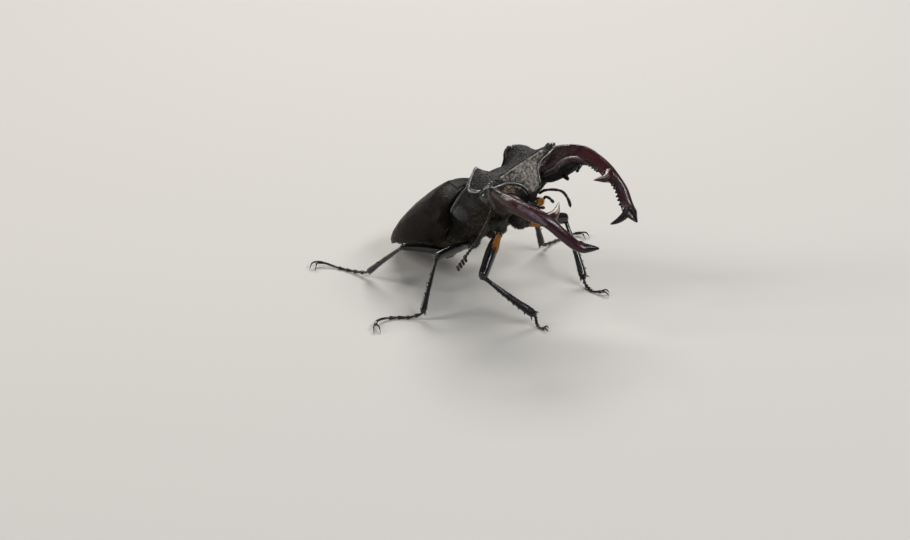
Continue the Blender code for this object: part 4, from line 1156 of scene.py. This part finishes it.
jaw = {
    "hinge": (7.4, 8.3, 0.85), "opening": {"left": 6.0, "right": -6.0},
    "line": ((5.9, 6.7, 0.3), (7.6, 8.3, 0.9), (10.2, 10.4, 2.2), (13.4, 11.9, 2.75), (17.2, 12.0, 2.0),
             (20.3, 11.2, 0.75), (23.4, 10.6, -1.9), (26.0, 8.8, -5.0), (29.2, 6.3, -5.9)),
    # share of the line: half width, height above, depth below, outward lean
    "sections": ((0.0, 1.6, 1.5, 2.4, 0.5), (0.06, 1.7, 2.9, 2.9, 0.6), (0.15, 1.6, 3.6, 3.0, 0.6),
                 (0.23, 1.5, 3.1, 2.7, 0.6), (0.29, 1.5, 2.6, 2.0, 0.5), (0.38, 1.5, 2.1, 1.4, 0.4),
                 (0.54, 1.6, 1.45, 1.3, 0.1), (0.68, 1.2, 1.25, 1.2, 0), (0.79, 1.2, 1.15, 1.1, 0),
                 (0.885, 1.35, 1.05, 1.0, 0), (0.945, 0.75, 0.75, 0.7, 0), (1.0, 0.2, 0.2, 0.18, 0)),
    "bigTooth": ((20.2, 10.8, 0.7), (20.6, 8.6, 1.2), (20.2, 6.9, 1.7), (19.6, 5.4, 2.1)),
    "bigToothSize": ((0, 1.7), (0.3, 1.1), (0.6, 0.68), (0.9, 0.24), (1, 0.06)),
    "prong": ((26.2, 8.8, -4.9), (25.6, 6.9, -5.9), (24.8, 5.6, -6.5), (23.9, 4.4, -6.8)),
    "prongSize": ((0, 1.25), (0.3, 0.92), (0.65, 0.62), (0.92, 0.28), (1, 0.08)),
    "smallTeeth": ((0.385, 0.4), (0.415, 0.55), (0.445, 0.65), (0.475, 0.6), (0.5, 0.45), (0.64, 0.42),
                   (0.672, 0.55), (0.705, 0.5), (0.74, 0.62), (0.775, 0.55), (0.81, 0.46)),
    "smallToothSize": ((0, 0.46), (0.6, 0.32), (1, 0.14)),
    "bladeTooth": ((10.9, 8.4, -0.3), (12.0, 7.7, -0.5), (12.7, 7.2, 0.0)),
    "bladeToothSize": ((0, 1.0), (0.5, 0.62), (0.9, 0.25), (1, 0.1)),
    "knob": ((14.0, 9.8, 2.0), (14.1, 8.9, 1.7), (14.1, 8.6, 1.6), (14.2, 7.9, 1.7)),
    "knobSize": ((0, 0.5), (0.5, 0.34), (0.85, 0.5), (1, 0.2)),
    "ridges": (((7.3, 5.1, 0.9), (8.1, 6.0, 1.2), (9.1, 7.0, 1.7), (10.0, 8.5, 2.7), (11.5, 9.4, 3.4),
                (13.4, 10.1, 3.4), (15.4, 10.2, 2.7)),
               ((10.2, 12.1, 5.0), (12.2, 12.5, 5.0), (14.0, 13.0, 4.8), (15.6, 12.8, 4.4),
                (17.1, 12.4, 3.9))),
    # painted highlight: the path where a pale violet sheen is painted on the jaw's face, standing in for
    # light shining off it
    "paintedSheen": ((15.4, 13.5, 3.8), (17.4, 13.3, 3.1), (19.2, 13.0, 2.1), (20.7, 12.7, 0.9)),
    "pale": {"left": 0.3, "right": 0.85},  # how strongly the painted sheen and the painted highlight on the big tooth show
    "rows": 170, "sides": 60, "voxel": 0.105,
    "look": {
        "colour": (0.010, 0.0017, 0.0024), "second": (0.021, 0.003, 0.0042), "rough": (0.22, 0.34),
        "granules": 7000.0, "grainDepth": 0.12, "pits": 1700.0, "pitWidth": 0.42, "pitDepth": 1.6,
        "pitMask": "pitted", "pitColour": (0.06, 0.02, 0.018), "dust": 0.02, "dustColour": (0.2, 0.13, 0.13),
        "shine": 0.28, "ior": 1.46, "coat": 0.3, "coatRough": 0.16,
        "tints": {
            "pitted": {"colour": (0.016, 0.0062, 0.006), "rougher": 0.16},
            "reddened": {"colour": (0.036, 0.005, 0.0055), "rougher": 0.0},
            "violet": {"colour": (0.03, 0.0058, 0.0105), "rougher": -0.03},
            # black chitin of the small teeth, fork, blade and base, and painted shade on the big tooth's
            # underside
            "blackAndPaintedShade": {"colour": (0.0036, 0.002, 0.0024), "rougher": 0.0},
            # painted highlight: the pale violet colour of the painted sheen
            "paintedSheen": {"colour": (0.2, 0.165, 0.215), "fleck": (0.06, 0.035, 0.05), "rougher": -0.08,
                      "calm": 0.4},
            # painted highlight: a pale violet-grey line along the jaws' raised ridges
            "ridge": {"colour": (0.105, 0.078, 0.092), "rougher": -0.1, "calm": 0.8},
            # painted highlight: pale cream on the big tooth's upward faces, where light shines off it
            "paintedToothHighlight": {"colour": (0.42, 0.34, 0.28), "rougher": 0.1},
        },
    },
}


def spike(points, size, rows=26, sides=20, upward=(0, 0, 1), flat=0.85):
    radius = through(size, np.linspace(0, 1, rows))[:, 0]
    rings = sweep(route(points, rows), np.array(upward, float), radius * flat, radius, radius, sides)
    return skinOver("spike", rings)


def jawBody(line, share, width, above, below, lean):
    # the antler's own body, with a ridge along its base and another along its shaft
    spec = jaw
    rings = sweep(line, np.array((0, 0, 1.0)), width, above, below, spec["sides"], lean)
    turn = np.linspace(0, 2 * pi, spec["sides"], endpoint=False)[None, :]
    base = step(0.42, 0.2, share)[:, None]
    shaft = (step(0.25, 0.45, share) * step(0.97, 0.85, share))[:, None]

    def lobe(at, reach):
        return np.exp(-((turn - at * pi) / reach) ** 2)

    ridge = (1.12 - 0.09 * step(0.05, 0.3, share))[:, None]
    atBase = 0.46 * lobe(ridge, 0.17) - 0.16 * lobe(0.8, 0.4) - 0.4 * lobe(ridge + 0.2, 0.3)
    factor = 1 + base * (atBase + 0.12 * lobe(1.5, 0.2))
    factor += shaft * (0.22 * lobe(1.0, 0.25) - 0.1 * lobe(0.72, 0.3) - 0.1 * lobe(1.3, 0.3))
    return skinOver("body", line[:, None] + (rings - line[:, None]) * factor[..., None])


def jawMesh():
    spec = jaw
    share = np.linspace(0, 1, spec["rows"])
    line = route(spec["line"], spec["rows"])
    width, above, below, lean = through(spec["sections"], share).T
    meshes = [jawBody(line, share, width, above, below, lean), spike(spec["bigTooth"], spec["bigToothSize"]),
              spike(spec["prong"], spec["prongSize"])]
    ahead = unit(np.gradient(line, axis=0))
    inward = unit(np.cross(ahead, np.array((0, 0, 1.0))))
    inward *= -np.sign(inward[:, 1:2])
    for at, reach in spec["smallTeeth"]:
        k = int(at * (spec["rows"] - 1))
        root = line[k] + inward[k] * (width[k] * 1.1 - 0.5)
        tip = line[k] + inward[k] * (width[k] * 1.16 + reach) + ahead[k] * 0.12
        meshes.append(spike((root, (root + tip) / 2, tip), spec["smallToothSize"], 10, 12))
    meshes.append(spike(spec["bladeTooth"], spec["bladeToothSize"], 16, 14, flat=0.55))
    meshes.append(spike(spec["knob"], spec["knobSize"], 16, 14))
    return fuse("jaw", meshes, spec["voxel"], 3), line, width


def farFrom(points, path, rows):
    # how far each point is from a smooth path
    return np.min([np.linalg.norm(points - spot, axis=1) for spot in route(path, rows)], 0)


def paintJaw(mesh, line, width, pale):
    # raises the ridges and writes the masks of the jaw's finish
    points = pointsOf(mesh)
    spots = np.arange(0, len(line), 2)
    nearest = spots[np.argmin([np.linalg.norm(points - line[k], axis=1) for k in spots], 0)]
    share = nearest / (len(line) - 1)
    offset = points - line[nearest]
    outward = unit(np.cross((0, 0, 1.0), unit(np.gradient(line, axis=0))[nearest]))
    inner, up = -(offset * outward).sum(1), offset[:, 2]
    toothed = step(0.98, 1.2, inner / width[nearest]) * step(0.3, 0.36, share) * step(0.86, 0.83, share)
    fork = np.maximum(step(0.88, 0.93, share), step(8.6, 7.8, points[:, 1]) * step(0.8, 0.86, share))
    under = step(0.15, -0.15, up - 0.15 - 0.85 * (inner - 1.4 * width[nearest]))
    blade = step(0.4, 0.32, share) * under
    onTooth = step(10.2, 8.8, points[:, 1]) * bump(farFrom(points, jaw["bigTooth"], 30), 2.2) ** 0.3
    facing = normalsOf(mesh) @ unit(np.array((0.45, 0.0, 0.9)))
    # the big tooth's downward faces are painted black as shade, opposite the painted highlight on its top
    toothed = np.maximum(toothed * (1 - step(0.0, 0.4, onTooth)), onTooth * step(0.5, 0.1, facing) * 0.9)
    mask(mesh, "blackAndPaintedShade", np.max((toothed, fork, blade, step(0.11, 0.04, share)), 0))
    ridge = np.full(len(points), 9.0)
    for path in jaw["ridges"]:
        for spot in route(path, 60)[3:-3]:
            ridge = np.minimum(ridge, np.linalg.norm(points - spot, axis=1))
    # painted sheen: pale violet colour painted where light shines off the jaw's face
    mask(mesh, "paintedSheen", bump(farFrom(points, jaw["paintedSheen"], 40), 0.9) * pale * 0.8)
    # painted highlight on the big tooth's upward faces
    mask(mesh, "paintedToothHighlight", onTooth * step(0.62, 0.9, facing) * pale)
    push(mesh, 0.14 * bump(ridge, 0.42))
    # painted highlight along the raised ridges: the lighter colour stands in for light catching them
    mask(mesh, "ridge", bump(ridge, 0.4) * 0.9)
    middle = step(0.16, 0.4, share) * step(0.66, 0.5, share)
    mask(mesh, "reddened", 0.8 * middle * (1 - under * (share < 0.4)))
    mask(mesh, "violet", 0.9 * step(0.5, 0.68, share))
    mask(mesh, "pitted", step(0.3, 0.12, share) * (1 - blade))


def addJaws():
    finish = chitin("jaw chitin", jaw["look"])
    made, line, width = jawMesh()
    hinge = np.array(jaw["hinge"])
    for side, label in ((1, "left"), (-1, "right")):
        mesh = made.copy()
        paintJaw(mesh, line, width, jaw["pale"][label])
        mesh = mesh if side > 0 else mirrored(mesh)
        opening = radians(side * jaw["opening"][label])
        turn = np.array(((cos(opening), -sin(opening), 0), (sin(opening), cos(opening), 0), (0, 0, 1)))
        pivot = hinge * (1, side, 1)
        setPoints(mesh, (pointsOf(mesh) - pivot) @ turn.T + pivot)
        place("jaw_" + label, mesh, "head", finish, ["mandible_" + label])
    print("jaws:", len(mesh.vertices), "points each")


addJaws()


# Eyes, mouth and feelers

face = {
    "eye": {"centre": (4.7, 9.9, 1.4), "radii": (1.4, 1.0, 1.2)},
    "labrum": {"centre": (9.4, 0.6, -3.2), "radii": (0.8, 1.3, 0.8)},
    "brush": {"count": 600, "lie": (0.5, 0.4, -0.5), "length": 1.0, "thick": 0.035, "stand": 0.8,
              "hair": "orange"},
    "palps": {
        "maxillary_palp_left": ((8.6, 2.9, -2.6), (9.6, 3.3, -1.8), (11.4, 4.2, -1.5),
                                (13.1, 5.0, -1.9), (14.4, 5.1, -3.4), (15.0, 5.0, -5.0)),
        "maxillary_palp_right": ((9.0, -1.6, -2.4), (9.7, -1.4, -2.4), (10.4, -1.2, -2.9),
                                 (11.7, -1.0, -3.2), (12.9, -1.0, -2.8)),
        "labial_palp_left": ((10.1, 2.3, -3.2), (10.6, 2.4, -2.6), (11.4, 2.6, -2.8), (12.2, 3.0, -3.8)),
        "labial_palp_right": ((9.5, -0.6, -4.5), (10.2, -0.3, -4.4), (10.9, 0.0, -3.9)),
    },
    "palpRows": 90, "palpRadius": 0.2,
    "eyeLook": {
        "colour": (0.006, 0.005, 0.005), "second": (0.01, 0.008, 0.007), "rough": (0.12, 0.2),
        "granules": 14000.0, "grainDepth": 0.7, "pits": 9000.0, "pitDepth": 0.0,
        "dust": 0.05, "dustColour": (0.1, 0.1, 0.09), "coat": 0.7, "coatRough": 0.05,
    },
    "look": {
        "colour": (0.0055, 0.0035, 0.003), "second": (0.013, 0.0075, 0.005), "rough": (0.2, 0.34),
        "granules": 9000.0, "grainDepth": 0.15, "pits": 6000.0, "pitDepth": 0.5,
        "dust": 0.06, "dustColour": (0.15, 0.13, 0.1), "coat": 0.12, "shine": 0.25,
        "tints": {"ginger": {"colour": (0.10, 0.032, 0.007), "rougher": 0.15}},
    },
}
feeler = {
    "places": {  # root, elbow, tip
        "right": ((6.0, -9.6, -0.6), (5.6, -14.0, -6.1), (4.2, -20.3, -10.7)),
        "left": ((6.0, 9.6, -0.6), (0.6, 12.8, -2.6), (-4.4, 14.6, -8.4)),
    },
    "bow": (0.5, 0, 0.4), "shaft": ((0, 0.26), (0.06, 0.32), (0.12, 0.2), (0.5, 0.26), (0.9, 0.42), (1, 0.3)),
    "core": 0.15, "joints": 6, "jointGap": 0.094,
    "leaves": 4, "leafStart": 0.6, "leafGap": 0.108, "leafReach": 1.3, "leafShorter": 0.08,
    "leaf": ((0, 0.3), (0.15, 0.42), (0.6, 0.5), (0.9, 0.34), (1, 0.1)), "voxel": 0.06,
}


def addEyes():
    finish = chitin("eye lens", face["eyeLook"])
    x, y, z = face["eye"]["centre"]
    for side, label in ((1, "left"), (-1, "right")):
        mesh = ball("eye", (x, side * y, z), face["eye"]["radii"], 64, 40)
        place("eye_lens_" + label, mesh, "head", finish, ["eye_" + label])


def addLip(finish):
    mesh = ball("lip", face["labrum"]["centre"], face["labrum"]["radii"], 48, 32)
    push(mesh, -0.2 * bump(pointsOf(mesh)[:, 1] - face["labrum"]["centre"][1], 0.3))  # its middle furrow
    mask(mesh, "ginger", np.full(len(mesh.vertices), 0.15))
    x, y, z = pointsOf(mesh).T
    brush = step(9.2, 9.7, x) * bump(np.hypot(y - 1.15, (z + 3.3) * 1.1), 1.0)
    bristles("mouth_brush", mesh, brush, face["brush"], "head")
    place("upper_lip", mesh, "head", finish, ["labrum"])


def addPalps(finish):
    rows = face["palpRows"]
    share = np.linspace(0, 1, rows)
    for name, points in face["palps"].items():
        joints = 4 if name.startswith("maxillary") else 3
        within = (share * joints) % 1.0
        swelling = np.sin(pi * np.clip(within * 0.8 + 0.18, 0, 1)) ** 0.5 * (0.7 + 0.5 * within)
        radius = face["palpRadius"] + 0.12 * swelling + 0.04 * (share > 1 - 1 / joints) * np.sin(pi * within)
        radius *= np.clip((1 - share) / 0.03, 0.2, 1) ** 0.5
        mesh = tube(name, route(points, rows), (0.2, 0.9, 0.4), radius, radius, radius, 18, 3)
        place(name.replace("_palp", "_feeler"), mesh, "head", finish, [name])


def addShaft(label, root, elbow, finish):
    rows = 70
    line = route((root, (root + elbow) / 2 + feeler["bow"], elbow), rows)
    radius = through(feeler["shaft"], np.linspace(0, 1, rows))[:, 0]
    mesh = tube("scape", line, (1.0, 0, 0.3), radius, radius, radius, 20)
    place("feeler_shaft_" + label, mesh, "head", finish, ["antenna_scape_" + label])


def addComb(label, elbow, tip, finish):
    # small joints on a thin core, then the comb of four leaves
    spec = feeler
    lean = unit(tip - elbow)
    start = elbow + lean * 0.45
    reach = lean * np.linalg.norm(tip - start)
    comb = unit(np.cross(lean, (1.0, 0, 0)))
    comb = -comb if comb[2] < 0 else comb
    core = route((elbow - lean * 0.05, (elbow + tip) / 2, start + reach * 0.94), 60)
    thin = np.full(len(core), spec["core"])
    meshes = [skinOver("core", sweep(core, comb, thin, thin, thin, 16))]
    for k in range(spec["joints"]):
        a = start + reach * (0.02 + spec["jointGap"] * k)
        b = start + reach * (0.02 + spec["jointGap"] * (k + 0.93))
        swelling = ((0, 0.16), (0.2, 0.24), (0.8, 0.36 + 0.015 * k), (1, 0.2))
        size = through(swelling, np.linspace(0, 1, 12))[:, 0]
        meshes.append(skinOver("joint", sweep(route((a, (a + b) / 2, b), 12), comb, size, size, size, 18)))
    size = through(spec["leaf"], np.linspace(0, 1, 26))[:, 0]
    for k in range(spec["leaves"]):
        foot = start + reach * (spec["leafStart"] + spec["leafGap"] * k)
        hang = comb * (spec["leafReach"] - spec["leafShorter"] * k)
        line = route((foot + comb * 0.3, foot - comb * 0.3, foot - hang * 0.75 + lean * 0.25,
                      foot - hang + lean * 0.5), 26)
        meshes.append(skinOver("leaf", sweep(line, lean, size, size * 0.5, size * 0.5, 18)))
    mesh = fuse("club", meshes, spec["voxel"], 1)
    mask(mesh, "ginger", step(0.3, 1.1, -(pointsOf(mesh) - start) @ comb) * 0.7)
    place("feeler_comb_" + label, mesh, "head", finish, ["antenna_club_" + label])


def addFace():
    addEyes()
    finish = chitin("feeler chitin", face["look"])
    addLip(finish)
    addPalps(finish)
    for label, (root, elbow, tip) in feeler["places"].items():
        root, elbow, tip = (np.array(point) for point in (root, elbow, tip))
        addShaft(label, root, elbow, finish)
        addComb(label, elbow, tip, finish)
    print("eyes, lip, palps and feelers done")


addFace()


# Legs

legs = {
    # hip in the section's frame; knee, ankle and the foot's route above the ground
    "front_right": {
        "section": "prothorax", "hip": (3.0, -4.0, -8.0), "knee": (12.5, -14.6, 10.7),
        "ankle": (21.6, -8.4, 2.2), "reach": (0.8, 0.5),
        "foot": ((22.1, -8.7, 1.4), (22.7, -9.1, 0.75), (23.6, -9.3, 0.36), (24.5, -9.1, 0.4))},
    "front_left": {
        "section": "prothorax", "hip": (1.4, 4.0, -8.6), "knee": (11.0, 15.6, 12.1),
        "ankle": (19.5, 11.6, 1.8), "reach": (1.4, 0.9),
        "foot": ((19.9, 11.3, 1.1), (20.9, 11.0, 0.5), (22.7, 10.4, 0.36), (24.7, 10.9, 0.7))},
    "middle_right": {
        "section": "hind", "hip": (-3.5, -3.8, -6.6), "knee": (1.2, -15.9, 12.1),
        "ankle": (2.3, -21.9, 1.7), "reach": (1.9, -1.5),
        "foot": ((1.7, -22.2, 1.1), (0.1, -23.6, 0.5), (-2.2, -25.4, 0.36), (-3.5, -27.6, 0.6),
                 (-3.5, -29.6, 0.9), (-2.8, -31.0, 0.85))},
    "middle_left": {
        "section": "hind", "hip": (-3.5, 3.8, -6.6), "knee": (1.9, 15.2, 12.4),
        "ankle": (2.5, 18.8, 1.6), "reach": (2.1, -0.3),
        "foot": ((2.3, 20.2, 0.9), (2.2, 22.8, 0.45), (2.7, 26.3, 0.36), (3.7, 29.1, 0.6), (4.9, 30.3, 0.8))},
    "hind_right": {
        "section": "hind", "hip": (-11.2, -4.2, -6.6), "knee": (-8.2, -16.1, 11.3),
        "ankle": (-18.7, -15.8, 1.5), "reach": (0.9, -2.3),
        "foot": ((-20.4, -15.9, 0.9), (-23.3, -16.3, 0.45), (-26.7, -17.0, 0.36), (-29.6, -17.9, 0.8),
                 (-31.2, -19.0, 1.0))},
    "hind_left": {
        "section": "hind", "hip": (-11.2, 4.2, -6.6), "knee": (-7.4, 16.0, 11.0),
        "ankle": (-16.6, 16.6, 1.5), "reach": (-0.6, 2.3),
        "foot": ((-18.0, 17.0, 0.9), (-20.2, 17.6, 0.45), (-23.0, 18.5, 0.36), (-25.2, 19.4, 0.6),
                 (-26.6, 20.6, 0.8))},
}
limb = {
    "coxa": {"front": (1.6, 1.7, 2.6), "middle": (1.7, 2.0, 1.8), "hind": (1.6, 2.2, 1.7)},
    "femur": ((0, 0.5), (0.04, 0.74), (0.14, 0.9), (0.3, 1.1), (0.52, 1.15), (0.74, 1.06), (0.92, 0.98),
              (0.975, 0.84), (1, 0.5)),
    "stout": {"front": 1.3, "middle": 1.0, "hind": 0.86},
    "collar": ((0, 0.45), (0.3, 0.82), (0.7, 0.86), (1, 0.55)),
    "tibia": {
        "front": ((0, 0.4), (0.04, 0.62), (0.1, 0.5), (0.4, 0.68), (0.7, 0.86), (0.93, 1.02), (1, 0.6)),
        "other": ((0, 0.36), (0.04, 0.58), (0.1, 0.46), (0.4, 0.56), (0.7, 0.66), (0.94, 0.82), (1, 0.5)),
    },
    "teeth": {  # share of the shin, how far it stands out
        "front": ((0.3, 0.3), (0.4, 0.4), (0.5, 0.45), (0.6, 0.55), (0.7, 0.55), (0.82, 0.7), (0.95, 0.95)),
        "middle": ((0.3, 0.45), (0.46, 0.6), (0.64, 0.65)), "hind": ((0.42, 0.5), (0.6, 0.55)),
    },
    "footJoints": (0, 0.155, 0.305, 0.455, 0.605, 1.0),  # where each begins, then the foot's end
    "footJoint": ((0, 0.19), (0.15, 0.26), (0.5, 0.31), (0.82, 0.42), (0.94, 0.4), (1, 0.22)),
    "lastJoint": ((0, 0.19), (0.2, 0.26), (0.6, 0.27), (0.88, 0.38), (0.97, 0.36), (1, 0.26)),
    "claw": ((0, 0.17), (0.3, 0.21), (0.7, 0.13), (1, 0.035)),
    "stalk": ((0, 0.1), (0.8, 0.07), (1, 0.03)),
    "shinRows": 120, "footRows": 150, "voxel": 0.085,
    "hipDown": {"count": 420, "lie": (0.6, 0, -0.4), "length": 0.7, "thick": 0.028, "stand": 0.5,
                "hair": "golden"},
    "patchDown": {"count": 2600, "length": 0.42, "thick": 0.03, "stand": 0.3, "hair": "orange"},
    "shinDown": {"count": 150, "length": 0.5, "thick": 0.028, "stand": 0.5, "hair": "dark"},
    "footDown": {"count": 110, "length": 0.34, "thick": 0.025, "stand": 0.3, "hair": "golden"},
    "look": {
        "colour": (0.0036, 0.003, 0.0029), "second": (0.0075, 0.0056, 0.0048), "rough": (0.13, 0.24),
        "granules": 7000.0, "grainDepth": 0.12, "pits": 3400.0, "pitWidth": 0.24, "pitDepth": 0.7,
        "dust": 0.05, "dustColour": (0.2, 0.18, 0.15), "ior": 1.35, "shine": 0.3,
        "coat": 0.75, "coatRough": 0.07,
        "tints": {"ginger": {"colour": (0.16, 0.055, 0.008), "rougher": 0.3}},
    },
    "hipLook": {
        "colour": (0.0042, 0.0034, 0.003), "second": (0.011, 0.0085, 0.0065), "rough": (0.42, 0.6),
        "granules": 5200.0, "grainDepth": 0.5, "pits": 3200.0, "pitDepth": 0.9, "shine": 0.25,
        "dust": 0.2, "dustColour": (0.16, 0.14, 0.11),
    },
}
straightUp = (0, 0, 1.0)


def aboveGround(section, point):
    # a point of a body section, from the point of the floor under the waist
    return np.array(sections["ground"].inverted() @ sections[section] @ Vector(point))


def addHip(name, plan, kind, finish):
    radii = limb["coxa"][kind]
    inward = -1 if plan["hip"][1] > 0 else 1
    centre = Vector(plan["hip"]) + Vector((0, 0.5 * inward, radii[2] - 1.2))
    mesh = ball("coxa", centre, radii, 48, 32)
    height = pointsOf(mesh)[:, 2] - centre.z
    push(mesh, -0.12 * bump(height + radii[2] * 0.55, 0.25))
    lower = (height < 0.4 * radii[2]) * 1.0
    bristles("hip_down_" + name, mesh, lower, limb["hipDown"], plan["section"])
    place("hip_" + name, mesh, plan["section"], finish, ["leg_" + name + "_coxa"])


def addThigh(name, kind, hip, knee, finish):
    way = unit(knee - hip)
    stout = limb["stout"][kind]
    collar = through(limb["collar"], np.linspace(0, 1, 24))[:, 0] * stout
    line = route((hip + way * 0.55, hip + way * 1.2, hip + way * 1.9), 24)
    mesh = tube("ring", line, straightUp, collar * 0.9, collar, collar, 32)
    place("hip_ring_" + name, mesh, "ground", finish)

    share = np.linspace(0, 1, 110)
    start, end = hip + way * 1.5, knee + way * 0.42
    line = start + (end - start) * share[:, None] + np.array((0, 0, 0.3)) * np.sin(pi * share)[:, None]
    radius = through(limb["femur"], share)[:, 0] * stout
    mesh = tube("thigh", line, straightUp, radius * 0.8, radius * 0.98, radius * 1.04, 48)
    fromStart = pointsOf(mesh) - start
    at = fromStart @ way / np.linalg.norm(end - start)
    across = unit(np.cross(straightUp, way))
    underside = step(-0.1, -0.7, fromStart @ np.cross(way, across))
    push(mesh, -0.28 * step(0.6, 0.85, at) * underside * bump(fromStart @ across, 0.5))  # the knee's groove
    if kind == "front":
        at = (pointsOf(mesh) - start) @ way / np.linalg.norm(end - start)
        forward = normalsOf(mesh) @ unit(np.array((1.0, 0, 0)) - way * way[0])
        patch = bump(at - 0.18, 0.22) ** 0.4 * step(0.1, 0.5, forward)
        mask(mesh, "ginger", patch)
        bristles("thigh_patch_" + name, mesh, patch, limb["patchDown"], "ground", way, way)
    place("thigh_" + name, mesh, "ground", finish, ["leg_" + name + "_femur"])


def shinSpikes(kind, line, radius, flat, way, crest, across):
    # teeth along the shin's outer edge and spurs round its end
    def tooth(at, side, out, lean, thick):
        k = int(min(at, 0.999) * (len(line) - 1))
        aim = unit(side)
        root = line[k] + aim * (radius[k] * (flat[k] if abs(aim @ across) > 0.7 else 1.0) - thick)
        tip = root + aim * (out + thick) + way * lean
        bend = (root + tip) / 2 + aim * 0.06
        return spike((root, bend, tip), ((0, thick), (0.5, thick * 0.62), (1, 0.04)), 12, 12, across)

    made = [tooth(at, crest, out, 0.35 + 0.3 * out, 0.3) for at, out in limb["teeth"][kind]]
    made.append(tooth(0.975, -crest, 0.15, 0.95, 0.22))
    made.append(tooth(0.975, -crest + across * 0.7, 0.1, 0.75, 0.18))
    return made + [tooth(0.97, side, 0.12, 0.5, 0.2) for side in (across, -across)]


def addShin(name, kind, thigh, knee, ankle, finish):
    front, rows = kind == "front", limb["shinRows"]
    way, length = unit(ankle - knee), np.linalg.norm(ankle - knee)
    across = unit(np.cross(thigh, way))
    crest = np.cross(way, across)
    share = np.linspace(0, 1, rows)
    radius = through(limb["tibia"]["front" if front else "other"], share)[:, 0]
    flat = np.where(share < 0.15, 0.85, 0.7 if front else 0.84)
    line = knee + way * length * share[:, None] + crest * (0.22 * np.sin(pi * share) - 0.1)[:, None]
    rings = sweep(line, thigh, radius * flat, radius, radius * 0.9, 40)
    turn = np.linspace(0, 2 * pi, 40, endpoint=False)[None, :]
    fluted = 1 + 0.035 * np.cos(6 * turn) * (step(0.1, 0.25, share) * step(0.97, 0.85, share))[:, None]
    rings = line[:, None] + (rings - line[:, None]) * fluted[..., None]
    spikes = shinSpikes(kind, line, radius, flat, way, crest, across)
    mesh = fuse("shin", [skinOver("shin", roundEnds(rings, 4))] + spikes, limb["voxel"], 2)
    at = (pointsOf(mesh) - knee) @ way / length
    haired = step(0.2, 0.4, at) * step(0.3, 0.8, normalsOf(mesh) @ -crest)
    lie = way - 0.4 * crest
    bristles("shin_bristles_" + name, mesh, haired, limb["shinDown"], "ground", lie, way)
    place("shin_" + name, mesh, "ground", finish, ["leg_" + name + "_tibia"])


def addFoot(name, plan, knee, ankle, finish):
    rows = limb["footRows"]
    line = route((ankle + unit(ankle - knee) * 0.15,) + plan["foot"], rows)
    starts, share = np.array(limb["footJoints"]), np.linspace(0, 1, rows)
    segment = np.clip(np.searchsorted(starts, share, side="right") - 1, 0, 4)
    within = (share - starts[segment]) / (starts[segment + 1] - starts[segment])
    last = segment == 4
    bell, wrist = (through(limb[key], within)[:, 0] for key in ("footJoint", "lastJoint"))
    radius = np.where(last, wrist, bell)
    below = radius * np.where(last, 1.0, 1 + 0.18 * step(0.5, 0.9, within))
    mesh = tube("foot", line, straightUp, radius * 0.95, radius, below, 26, 3)
    flat = pointsOf(mesh)
    flat[:, 2] = np.maximum(flat[:, 2], 0.0)
    setPoints(mesh, flat)
    sole = ((normalsOf(mesh)[:, 2] < -0.1) & (flat[:, 2] > 0.12)) * 1.0
    way = unit(line[-1] - line[0])
    bristles("foot_bristles_" + name, mesh, sole, limb["footDown"], "ground", way, way)
    place("foot_" + name, mesh, "ground", finish, ["leg_" + name + "_tarsus"])
    addClaws(name, line[-1], np.array((*plan["reach"], 0.0)), finish)


def addClaws(name, end, reach, finish):
    # a pair of hooks, and the small stalk between them
    side = unit(np.array((-reach[1], reach[0], 0.0)))
    claws = []
    for way in (1, -1):
        path = [end - unit(reach) * 0.2 + side * way * 0.14]
        heights = (end[2] + 0.28, end[2] * 0.75, 0.06)
        for along, apart, height in zip((0.5, 0.86, 1.0), (0.52, 0.66, 0.66), heights):
            point = end + reach * along + side * way * apart
            point[2] = height
            path.append(point)
        claws.append(spike(path, limb["claw"], 30, 16))
    stalk = end + reach * 0.3 - np.array((0, 0, 0.1))
    claws.append(spike((end, (end + stalk) / 2, stalk), limb["stalk"], 10, 10))
    mesh = together("claws", claws)
    mask(mesh, "ginger", np.full(len(mesh.vertices), 0.12))
    place("claws_" + name, mesh, "ground", finish)


def addLegs():
    finish, hipFinish = chitin("leg chitin", limb["look"]), chitin("hip chitin", limb["hipLook"])
    for name, plan in legs.items():
        kind = name.split("_")[0]
        hip, knee = aboveGround(plan["section"], plan["hip"]), np.array(plan["knee"])
        ankle = np.array(plan["ankle"])
        addHip(name, plan, kind, hipFinish)
        addThigh(name, kind, hip, knee, finish)
        addShin(name, kind, unit(knee - hip), knee, ankle, finish)
        addFoot(name, plan, knee, ankle, finish)
        print("leg", name, "done")


addLegs()
